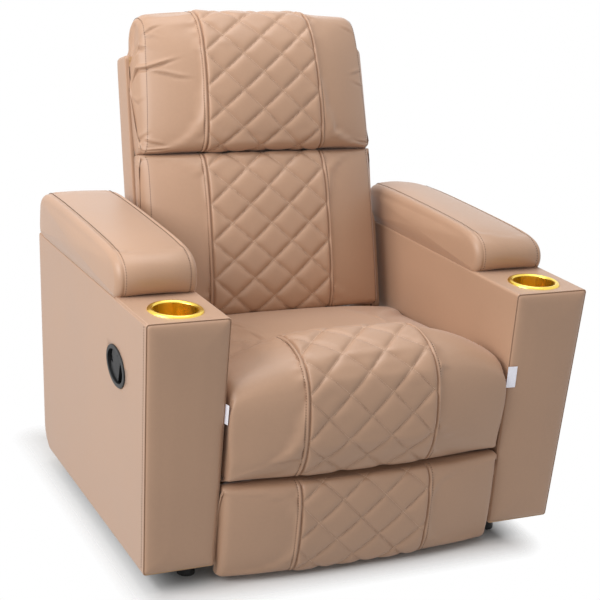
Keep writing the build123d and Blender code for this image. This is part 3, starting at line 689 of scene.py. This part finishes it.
def quilt(bag, start, end, families, body):
    """Sews a bag's panel from place start to end: crossing diagonals between two welted seams.

    families holds each set of diagonals as its width, height and start, in millimetres.
    """
    low, high = (np.interp(place, bag.places, bag.run) for place in (start, end))
    left, right = bag.panel
    depth = np.minimum(bag.x - left, right - bag.x)
    inside = rise(depth, PANEL_RISE)
    ends = np.clip((bag.s - low) / PANEL_FADES[0], 0, 1) * np.clip((high - bag.s) / PANEL_FADES[1], 0, 1)
    sides = (np.abs(bag.x) < bag.half).astype(float)
    fields = []
    for sign, (width, height, phase) in zip((1, -1), families):
        lines = bag.x / (width * MM) + sign * (bag.s - phase * MM) / (height * MM)
        fields.append(rise(np.abs(lines - np.round(lines)), 0.5))
    pillow = fields[0] * fields[1]
    lines = np.maximum(1 - fields[0], 1 - fields[1])
    relief = ends * (QUILT_PUFF * pillow * inside - QUILT_SEAM * lines**SEAM_STEEP * (inside > 0))
    welt = sum(height * bump_at(depth + out * MM, width * MM) for height, out, width in WELTS)
    bag.push((relief + ends * sides * welt) * MM)

    places = np.linspace(start, end, WELT_POINTS)
    for edge in (left - WELT_STITCHES, right + WELT_STITCHES):
        sew(body, *bag.at(np.full(WELT_POINTS, edge), places))
    x = np.linspace(left, right, DIAGONAL_POINTS)
    for sign, (width, height, phase) in zip((1, -1), families):
        reach = max(-left, right) / (width * MM)
        first = math.ceil((low / MM - phase) / height - reach)
        last = math.floor((high / MM - phase) / height + reach)
        for row in range(first, last + 1):
            s = (phase + (row - sign * x / (width * MM)) * height) * MM
            keep = (s > low + PANEL_GAP) & (s < high - PANEL_GAP)
            if keep.sum() > 3:
                places = np.interp(s[keep], bag.run, bag.places)
                sew(body, *bag.at(x[keep], places), "quilting", pitch=4.8, length=4.2, radius=0.6, lift=0.3)


BOX_STITCHES = 3.2 * MM
BOX_GROOVE = 2 * MM


def box_seam(bag, body, start, end, depth=0.6, corner=0.5):
    """Sews a bag's side panels to its front from place start to end, with a groove and topstitching.

    depth is the groove's, and corner its place in side radii beyond the start of the rounded side.
    """
    q = np.abs(bag.rows[:, 0])[:, None]
    seam = bag.half - bag.radius + bag.radius * corner
    reach = ((bag.places > start) & (bag.places < end)).astype(float)
    bag.push(-depth * MM * bump_at(q - seam, BOX_GROOVE) * reach)
    places = np.linspace(start, end, SEAM_POINTS)
    for side in (-1, 1):
        sew(body, *bag.at_run(np.full(SEAM_POINTS, side * (seam - BOX_STITCHES)), places), radius=1.2)


# Depth and width of a crease's groove, in those of its ridge
FOLD_GROOVE = (1.3, 0.7)


def fold(bag, x, s, along, length, width, depth):
    """Heights of a soft crease of a bag's skin at x and s, running along a direction in degrees."""
    turn = math.radians(along)
    right, up = bag.q - x, bag.s - s
    forward = right * math.cos(turn) + up * math.sin(turn)
    aside = up * math.cos(turn) - right * math.sin(turn)
    ridge = bump_at(aside - width * MM, width * MM)
    groove = FOLD_GROOVE[0] * bump_at(aside, width * FOLD_GROOVE[1] * MM)
    return depth * bump_at(forward, length * MM) * (ridge - groove) * MM


# Corners of the cushions' outlines at their sides and in their middles, in millimetres
SEAT_EDGE = [
    (12, 213), (-8, 215), (-16, 232), (-20, 350), (-10, 394), (16, 417), (56, 422), (96, 420), (128, 411),
    (150, 399), (180, 398), (275, 388), (400, 374), (474, 367), (503, 356), (503, 300), (490, 283),
    (300, 283), (80, 283), (64, 275), (60, 240), (56, 217), (36, 212.5),
]
SEAT_MIDDLE = [
    (6, 215.5), (-24, 223), (-50, 290), (-45, 360), (-29, 422), (4, 459), (56, 477), (102, 478), (136, 466),
    (157, 446), (190, 447), (295, 432), (405, 401), (474, 382), (503, 364), (503, 300), (490, 283),
    (300, 283), (80, 283), (64, 275), (60, 240), (56, 217), (36, 212.5),
]
FOOTREST_EDGE = [
    (10, 9.5), (-8, 13), (-17, 50), (-19, 112), (-18, 186), (-14, 206.5), (4, 210), (27, 208), (31.4, 196),
    (31.4, 112), (31.4, 20), (26, 10),
]
FOOTREST_MIDDLE = [
    (10, 9.5), (-20, 12), (-36, 47), (-41, 112), (-38, 170), (-25, 205), (12, 209.5), (27, 208), (31.4, 196),
    (31.4, 112), (31.4, 20), (26, 10),
]
BACK_EDGE = [
    (8, 73), (-3, 77), (-8, 126), (-10, 250), (-8, 370), (-3, 422), (8, 431.5), (40, 434), (44.5, 420),
    (44.5, 250), (44.5, 84), (36, 72),
]
BACK_MIDDLE = [
    (-8, 72), (-38, 77), (-57, 126), (-63, 250), (-59, 370), (-42, 423), (-14, 432), (40, 434), (44.5, 420),
    (44.5, 250), (44.5, 84), (36, 72),
]
HEADREST_EDGE = [
    (8, 433.5), (-4, 435), (-11, 464), (-11, 545), (-7, 632), (0, 692), (14, 730), (44, 742), (76, 732),
    (88, 702), (88, 668), (84, 655), (60, 652.5), (46, 650), (44.5, 560), (44.5, 446), (40, 430),
]
HEADREST_MIDDLE = [
    (-8, 433), (-46, 434), (-66, 464), (-69, 545), (-61, 632), (-44, 692), (-14, 733), (36, 748), (78, 735),
    (88, 702), (88, 668), (84, 655), (60, 652.5), (46, 650), (44.5, 560), (44.5, 446), (40, 430),
]

# Edges of the quilted panels across the chair, each set of diagonals' width, height and start, and how far
# from a panel's edge its seam holds the skin
SEAT_PANEL = (-155, 126)
SEAT_DIAGONALS = ((90.8, 87.1, 149.7), (95.5, 90.4, 189.8))
FOOTREST_PANEL = (-152, 134)
FOOTREST_DIAGONALS = ((94.9, 94.0, 130.2), (95.5, 78.5, 163.0))
BACK_PANEL = (-150, 133)
BACK_DIAGONALS = ((90.6, 80.2, 158.8), (96.9, 81.8, 173.2))
HEADREST_PANEL = (-145, 127)
HEADREST_DIAGONALS = ((91.4, 87.5, 136.0), (97.5, 76.8, 162.1))
SEAM_HOLD = 8 * MM


def seam_hold(panel, first, last):
    """Fixes the points off the front of a cushion and along its panel's seams."""
    def held(x, place):
        front = (place > first) & (place < last)
        seam = np.minimum(*(np.abs(x - edge * MM) for edge in panel)) < SEAM_HOLD
        return ~front | seam
    return held


# The dent behind the seat's raised front: its first, deepest and last place, and its depth
SEAT_DENT = (8.2, 9.2, 10.2)
SEAT_DENT_DEPTH = 3 * MM


def make_seat():
    bag = Bag(upright, SEAT_EDGE, SEAT_MIDDLE, 310, fine=(0.2, 9.4), square=(21.8, 23.6, 0.3), flare=8.0,
              panel=SEAT_PANEL)
    bag.build(seam_hold(SEAT_PANEL, 0.6, 13.0), 5.0)
    dent = np.interp(bag.places, SEAT_DENT, (0, 1, 0), period=len(SEAT_EDGE))
    bag.push(-SEAT_DENT_DEPTH * dent[None, :])
    quilt(bag, 0.7, 9.1, SEAT_DIAGONALS, "seat")
    bag.piece("seat_cushion_cover", "seat", "seat_cushion")


def make_footrest():
    bag = Bag(upright, FOOTREST_EDGE, FOOTREST_MIDDLE, 310, fine=(0.3, 6.2), corners=(12.0, 0.0),
              square=(5.4, 7.6, 0.3), panel=FOOTREST_PANEL)
    bag.build(seam_hold(FOOTREST_PANEL, 0.6, 6.2), 4.0)
    quilt(bag, 0.55, 6.0, FOOTREST_DIAGONALS, "footrest")
    bag.piece("footrest_cover", "footrest", "footrest_cushion")


def make_back():
    bag = Bag(leaning, BACK_EDGE, BACK_MIDDLE, 283, fine=(0.3, 6.2), taper=0.02, square=(6.3, 10.6, 0.04),
              corners=(8.0, 0.0), panel=BACK_PANEL)
    bag.build(seam_hold(BACK_PANEL, 0.6, 6.4), 4.0)
    box_seam(bag, "back", 0.4, 6.4)
    quilt(bag, 0.55, 6.3, BACK_DIAGONALS, "back")
    bag.piece("back_cover", "back", "back_cushion")


# Creases of the headrest's skin: places across and along the outline in metres, direction in degrees, then
# length, width and depth in millimetres
HEADREST_FOLDS = [
    (-0.248, 0.252, 16, 29, 3.8, 5.4),
    (-0.236, 0.232, -16, 26, 4.2, 4.0),
    (-0.206, 0.222, -8, 20, 5.0, 1.8),
    (-0.292, 0.246, 0, 22, 4.6, 6.4),
    (-0.258, 0.340, 30, 16, 4.0, 3.2),
    (-0.262, 0.318, -34, 14, 4.0, 2.4),
    (-0.285, 0.300, -40, 20, 6.0, 3.0),
    (-0.300, 0.170, 24, 18, 7.0, 2.2),
    (-0.256, 0.082, -22, 20, 4.0, 3.0),
    (-0.250, 0.060, 14, 22, 4.0, 2.4),
    (-0.292, 0.090, 36, 20, 5.0, 3.2),
    (0.250, 0.070, -14, 20, 5.0, 2.0),
    (0.254, 0.232, 16, 18, 4.0, 1.8),
    (0.256, 0.206, -18, 16, 4.0, 1.6),
    (0.246, 0.340, -30, 18, 5.0, 1.8),
]


def make_headrest():
    bag = Bag(leaning, HEADREST_EDGE, HEADREST_MIDDLE, 281, fine=(0.3, 8.4), taper=0.06,
              square=(13.0, 16.8, 0.04), corners=(0.0, 30.0), panel=HEADREST_PANEL)
    bag.build(seam_hold(HEADREST_PANEL, 0.6, 8.6), 5.0)
    bag.push(sum(fold(bag, *crease) for crease in HEADREST_FOLDS))
    box_seam(bag, "back", 0.4, 8.4)
    quilt(bag, 0.55, 7.6, HEADREST_DIAGONALS, "back")
    bag.piece("headrest_cover", "back", "headrest_cushion")


SHELL_OUTLINE = [
    (45.4, 64), (45.4, 100), (45.4, 330), (45.4, 600), (45.4, 642), (46, 650), (62, 650.6), (88, 650.6),
    (102, 649), (105, 634), (106, 600), (108, 330), (106, 100), (105, 72), (100, 62), (84, 60.5), (62, 60.5),
    (46, 60.5),
]


def make_shell():
    bag = Bag(leaning, SHELL_OUTLINE, SHELL_OUTLINE, 288.2, side_radius=8.0, steps=(8.0, 8.0),
              cross=(20.0, 20.0), side_swell=0.6, square=(0.4, 5.6, 0.12), wings=(17.0, 255.0, 330.0))
    bag.build()
    box_seam(bag, "back", 8.2, 14.2, 1.4)
    bag.piece("back_shell_cover", "back", "back_shell", fill=0.9)


PAD_EDGE = [
    (176, 546), (167, 566), (168, 594), (180, 615), (204, 628), (240, 633), (300, 635), (420, 636),
    (560, 635), (640, 631), (664, 618), (668, 590), (666, 552), (640, 546), (420, 546), (200, 546),
]
PAD_MIDDLE = [
    (170, 555), (156, 572), (154, 600), (168, 624), (198, 638), (240, 643), (300, 645), (420, 646),
    (560, 645), (640, 641), (668, 626), (671, 592), (666, 556), (640, 554.3), (420, 554.3), (200, 554.3),
]

# In millimetres: lifts of the pads' edges and middles, where they start, over what length they grow and above
# what height, falls towards the outside, and the half of a pad that can swell
PAD_LIFTS = {"left": (0, 12), "right": (12, 12)}
PAD_LIFT_START, PAD_LIFT_LENGTH, PAD_LIFT_ABOVE = 200, 440, 585
PAD_SLOPES = {"left": 20, "right": 0}
PAD_SLOPE_HEIGHT = 80
PAD_FREE_HALF = 70


def make_pads():
    for side, name in ((1, "left"), (-1, "right")):
        edge, middle = (np.array(outline, float) for outline in (PAD_EDGE, PAD_MIDDLE))
        for outline, lift in zip((edge, middle), PAD_LIFTS[name]):
            share = np.clip((outline[:, 0] - PAD_LIFT_START) / PAD_LIFT_LENGTH, 0, 1)
            outline[:, 1] += lift * share * (outline[:, 1] > PAD_LIFT_ABOVE)
        bag = Bag(on_deck, edge, middle, 84.5, centre=side * ARM_MIDDLE / MM, side_radius=13.0, draw=0.05,
                  power=2.6, steps=(5.0, 5.0), cross=(6.0, 3.0), side_swell=8.0)
        bag.build(lambda x, place: (place > 12.2) | (place < 0.3) | (np.abs(x) > PAD_FREE_HALF * MM), 3.0)
        high = np.clip((bag.points[..., 2] - ARM_TOP) / (PAD_SLOPE_HEIGHT * MM), 0, 1)
        outside = np.clip(side * bag.x / bag.half, -1, 1) / 2 + 0.5
        bag.points[..., 2] -= PAD_SLOPES[name] * MM * high * outside
        bag.refresh()
        box_seam(bag, "base", 0.5, 11.2, 1.5, -0.2)
        bag.piece(f"arm_pad_cover_{name}", "base", f"arm_pad_{name}")


# Arms

def outer_face(height):
    return HALF_SEAT + ARM_WIDTH - ARM_LEAN * (ARM_TOP - height) / (ARM_TOP - ARM_BOTTOM)


def arm_length(height):
    """Depth of the arm at a height: its rear leans in, with a round heel."""
    depth = ARM_DEPTH - ARM_REAR_LEAN * (ARM_TOP - height) / (ARM_TOP - ARM_BOTTOM)
    below = np.clip(ARM_HEEL - (height - ARM_BOTTOM), 0, ARM_HEEL)
    return depth - (ARM_HEEL - np.sqrt(ARM_HEEL**2 - below**2))


ARC_POINTS = 9


def rounded_outline(corners, radius, inset, parts):
    """Closed outline of a convex polygon, moved in by an inset, with rounded corners and parts per side."""
    arcs = []
    count = len(corners)
    for place in range(count):
        before, here, after = (np.array(corners[(place + k) % count]) for k in (-1, 0, 1))
        one, two = unit(before - here), unit(after - here)
        half = math.acos(np.clip(one @ two, -1, 1)) / 2
        middle = here + unit(one + two) * (radius + inset) / math.sin(half)
        reach = (radius + inset) / math.tan(half)
        start, end = here + one * reach - middle, here + two * reach - middle
        spokes = [unit(start * (1 - share) + end * share) for share in np.linspace(0, 1, ARC_POINTS)]
        arcs.append([middle + spoke * radius for spoke in spokes])
    points = []
    for place in range(count):
        first, stop = arcs[place][-1], arcs[(place + 1) % count][0]
        points.extend(arcs[place])
        points.extend(first + (stop - first) * k / parts[place] for k in range(1, parts[place]))
    return np.array(points)


# Rows of the arm's front and rear, as (inset, back) in millimetres; the front's are its panel, seam and edge
ARM_FRONT_ROWS = [
    (40, -4.2), (28, -3.7), (20, -3.0), (14, -2.0), (9.5, -0.9), (6.5, 0.2), (4.4, 1.4), (3.0, 2.8),
    (2.2, 4.6), (1.7, 5.6), (1.2, 4.8), (0.7, 3.6), (0.25, 3.4), (0.0, 4.4), (0.0, 7.0),
]
ARM_REAR_ROWS = [(0.0, 12.0), (0.9, 7.0), (3.2, 3.2), (7.0, 0.9), (12.0, 0.0), (24.0, -1.0), (34.0, -1.4)]
ARM_CORE_SHARES = (0.12, 0.45, 0.78)
ARM_CORE_BACKS = (-5.0, 1.6)
ARM_ROWS = np.linspace(0.03, 0.97, 26)
ARM_CORNER = 6 * MM
ARM_PARTS = (9, 34, 11, 34)
ARM_CORE_END = 80 * MM
ARM_CORE_MIDDLE = ARM_MIDDLE - 5 * MM
DECK_EDGE = 2 * ARC_POINTS + ARM_PARTS[0] + ARM_PARTS[1] - 2 + ARC_POINTS // 2
DECK_GROOVE = 2.6 * MM
SIDE_STITCHES = 14 * MM
SIDE_SEAM = (ARM_BOTTOM + 12 * MM, ARM_TOP - 8 * MM)
HOLE_TURNS = np.radians(np.arange(64) * 360 / 64)
CUP_CUT = (ARM_TOP - 74 * MM, ARM_TOP + 20 * MM)
HANDLE_CUT = (-26 * MM, 20 * MM)


def make_arm(side, name):
    corners = [(HALF_SEAT, ARM_BOTTOM), (outer_face(ARM_BOTTOM), ARM_BOTTOM), (outer_face(ARM_TOP), ARM_TOP),
               (HALF_SEAT, ARM_TOP)]
    loop = rounded_outline(corners, ARM_CORNER, 0, ARM_PARTS)
    core = np.clip(loop[:, 1], ARM_BOTTOM + ARM_CORE_END, ARM_TOP - ARM_CORE_END)
    spine = np.stack([np.full(len(loop), ARM_CORE_MIDDLE), core], 1)
    rows = []

    def ring(inset, back, share=1.0, along=0.0):
        """Adds a ring a distance back from a share along of the arm's length."""
        flat = rounded_outline(corners, ARM_CORNER, inset * MM, ARM_PARTS)
        flat = spine + (flat - spine) * share
        share_up = (flat[:, 1] - ARM_BOTTOM) / (ARM_TOP - ARM_BOTTOM)
        back = back * MM + along * arm_length(flat[:, 1] - share_up * ARM_DEPTH * math.tan(DECK_TILT))
        fall = back * math.tan(DECK_TILT) * share_up
        lean = ARM_LEAN * fall / (ARM_TOP - ARM_BOTTOM) * (flat[:, 0] - HALF_SEAT) / ARM_WIDTH
        rows.append(np.stack([side * (flat[:, 0] - lean), ARM_FRONT + back, flat[:, 1] - fall], 1))

    for share in ARM_CORE_SHARES:
        ring(ARM_FRONT_ROWS[0][0], ARM_CORE_BACKS[0], share)
    for inset, back in ARM_FRONT_ROWS:
        ring(inset, back)
    for along in ARM_ROWS:
        ring(0, 0, along=along)
        rows[-1][DECK_EDGE] += [-side * DECK_GROOVE, 0, -DECK_GROOVE]
    for inset, back in ARM_REAR_ROWS:
        ring(inset, -back, along=1)
    for share in ARM_CORE_SHARES[::-1]:
        ring(ARM_REAR_ROWS[-1][0], ARM_CORE_BACKS[1], share, along=1)
    points = np.array(rows)
    faces = [face[:1] + face[:0:-1] for face in closed_faces(*points.shape[:2])]
    if side < 0:
        faces = [face[::-1] for face in faces]
    arm = new_piece(f"arm_cover_{name}_skin", points.reshape(-1, 3), faces, FINISHES["leather"], "base")
    heights = np.linspace(*SIDE_SEAM, SIDE_POINTS)
    fronts = np.full_like(heights, ARM_FRONT + SIDE_STITCHES)
    line = np.stack([side * outer_face(heights), fronts, heights], 1)
    sew("base", line, np.tile([float(side), 0.0, 0.0], (len(line), 1)))
    across = side * ARM_MIDDLE + CUP_HOLE * np.cos(HOLE_TURNS)
    back = CUP_BACK + CUP_HOLE * np.sin(HOLE_TURNS)
    cut(arm, *(on_deck(across, np.stack([back, np.full_like(back, height)], 1)) for height in CUP_CUT))
    if side < 0:
        origin, forward, up, out = handle_axes()
        oval = np.outer(np.cos(HOLE_TURNS), forward) * HANDLE_HOLE[0]
        oval += np.outer(np.sin(HOLE_TURNS), up) * HANDLE_HOLE[1]
        cut(arm, *(origin + oval + out * depth for depth in HANDLE_CUT))
    upholster(f"arm_cover_{name}")


def handle_axes():
    """The handle's middle on the right arm's side, and its forward, up and outward directions."""
    slope = ARM_LEAN / (ARM_TOP - ARM_BOTTOM)
    out = np.array([-1, 0, -slope]) / math.hypot(1, slope)
    level = np.array([0, -1, 0])
    rise = np.cross(out, level)
    forward = level * math.cos(HANDLE_TILT) + rise * math.sin(HANDLE_TILT)
    up = rise * math.cos(HANDLE_TILT) - level * math.sin(HANDLE_TILT)
    origin = np.array([-outer_face(HANDLE_HEIGHT), ARM_FRONT + HANDLE_BACK, HANDLE_HEIGHT])
    return origin, forward, up, out


def cut(piece, low, high):
    """Cuts a hole with the sides of a prism between two rings out of a piece."""
    tool = add_mesh("cutter", np.concatenate([low, high]), closed_faces(2, len(low)))
    tool.data.validate()
    step = piece.modifiers.new("cut", "BOOLEAN")
    step.operation = "DIFFERENCE"
    step.solver = "EXACT"
    step.object = tool
    shown = piece.evaluated_get(bpy.context.evaluated_depsgraph_get())
    result = bpy.data.meshes.new_from_object(shown)
    piece.modifiers.clear()
    piece.data = result
    bpy.data.objects.remove(tool)


# Tags

# Blank tags caught in the arms' inner front seams: side, both ends as (across, back), and heights
TAG_PLACES = {
    "left": (1, (311, -2.6), (332, -4.8), 354, 400),
    "right": (-1, (311.8, -5.0), (314.8, 5), 341, 381),
}


def make_tags():
    for name, (side, free, sewn, low, high) in TAG_PLACES.items():
        u, v = np.meshgrid(np.linspace(0, 1, 9), np.linspace(0, 1, 13), indexing="ij")
        curl = (0.5 + 0.4 * np.sin(3.1 * v + side)) * (1 - u) ** 2 + 0.4 * np.sin(9 * v) * (1 - u) * u
        across = free[0] + (sewn[0] - free[0]) * u
        back = free[1] + (sewn[1] - free[1]) * u - curl
        points = np.stack([side * across * MM, ARM_FRONT + back * MM, (low + (high - low) * v) * MM], -1)
        grid = np.arange(u.size).reshape(u.shape)
        quads = np.stack([grid[:-1, :-1], grid[1:, :-1], grid[1:, 1:], grid[:-1, 1:]], -1)
        faces = quads.reshape(-1, 4).tolist()
        tag = new_piece(f"tag_{name}", points.reshape(-1, 3), faces, FINISHES["tag"], "base")
        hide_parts("label_tags")


# Studio

# The floor's shaded patch under the chair, and the distance over which it fades to the white backdrop
FLOOR_MIDDLE = (-0.035, 0.0, 0.0)
FLOOR_HALF = (0.385, 0.375, 0.0)
FLOOR_FADE = 0.085
FLOOR_REACH = 14.0

# Strength of the studio's light from all around, and its colour
ROOM_LIGHT = 0.52
ROOM_COLOUR = (1.0, 0.985, 0.97, 1)


def make_floor():
    corners = [(x * FLOOR_REACH, y * FLOOR_REACH, 0) for x, y in ((-1, -1), (1, -1), (1, 1), (-1, 1))]
    floor = add_mesh("floor", corners, [(0, 1, 2, 3)])
    made = Finish("floor_white", Base_Color=(0.66, 0.66, 0.66, 1), Roughness=0.9, Specular_IOR_Level=0.1)
    away = made.place.vector("SUBTRACT", FLOOR_MIDDLE).vector("ABSOLUTE").vector("SUBTRACT", FLOOR_HALF)
    away = away.vector("MAXIMUM", (0.0, 0.0, 0.0)).vector("LENGTH", output="Value")
    made.place.plug(made.shader.inputs["Alpha"], away.clamp(0.0, FLOOR_FADE, 1.0, 0.0))
    floor.data.materials.append(made.material)


def make_room():
    """Soft light from all around, and a white backdrop for the camera and for reflections."""
    world = bpy.data.worlds.new("studio")
    bpy.context.scene.world = world
    world.use_nodes = True
    tree = world.node_tree
    light = tree.nodes["Background"]
    light.inputs["Color"].default_value = ROOM_COLOUR
    light.inputs["Strength"].default_value = ROOM_LIGHT
    backdrop = tree.nodes.new("ShaderNodeBackground")
    backdrop.inputs["Color"].default_value = (1, 1, 1, 1)
    path = tree.nodes.new("ShaderNodeLightPath")
    camera, glossy, through = (Wire(tree, path.outputs[f"Is {kind} Ray"])
                               for kind in ("Camera", "Glossy", "Transmission"))
    mix = tree.nodes.new("ShaderNodeMixShader")
    tree.links.new((camera + glossy + through).clamp(0, 1).out, mix.inputs[0])
    tree.links.new(light.outputs[0], mix.inputs[1])
    tree.links.new(backdrop.outputs[0], mix.inputs[2])
    tree.links.new(mix.outputs[0], tree.nodes["World Output"].inputs["Surface"])


LAMP_AIM = Vector((0, 0, 0.5))


def add_lamp(name, place, size, power):
    data = bpy.data.lights.new(name, "AREA")
    data.shape = "RECTANGLE"
    data.size, data.size_y = size
    data.energy = power
    lamp = add_object(name, data)
    lamp.location = place
    lamp.rotation_euler = (LAMP_AIM - Vector(place)).to_track_quat("-Z", "Y").to_euler()


def make_lights():
    add_lamp("key_softbox", (-3.1, -0.6, 2.3), (2.4, 2.0), 100)
    add_lamp("top_softbox", (0.0, 0.2, 3.4), (2.2, 2.2), 46)
    add_lamp("rear_softbox", (0.6, 3.2, 2.0), (3.4, 2.0), 9)


# The camera that was fitted to the edges of the arms in the photograph
CAMERA_PLACE = (-1.464, -2.494 + ARM_FRONT, 1.532)
CAMERA_TURN = math.radians(-27.25)
CAMERA_RISE = math.radians(18.74)
CAMERA_ROLL = math.radians(5.0)
CAMERA_LENS = 94.68


def make_camera():
    level = math.cos(CAMERA_RISE)
    back = Vector((math.sin(CAMERA_TURN) * level, -math.cos(CAMERA_TURN) * level, math.sin(CAMERA_RISE)))
    right = Vector((0, 0, 1)).cross(back).normalized()
    up = back.cross(right)
    across = right * math.cos(CAMERA_ROLL) + up * math.sin(CAMERA_ROLL)
    rise = up * math.cos(CAMERA_ROLL) - right * math.sin(CAMERA_ROLL)
    data = bpy.data.cameras.new("camera")
    data.lens = CAMERA_LENS
    camera = add_object("camera", data)
    axes = Matrix((across, rise, back)).transposed().to_4x4()
    camera.matrix_world = Matrix.Translation(CAMERA_PLACE) @ axes
    bpy.context.scene.camera = camera


bpy.context.scene.view_settings.view_transform = "Standard"
make_camera()
dress_frame()
make_seat()
make_footrest()
make_back()
make_headrest()
make_shell()
make_pads()
make_arm(1, "left")
make_arm(-1, "right")
make_tags()
make_threads()
make_floor()
make_room()
make_lights()
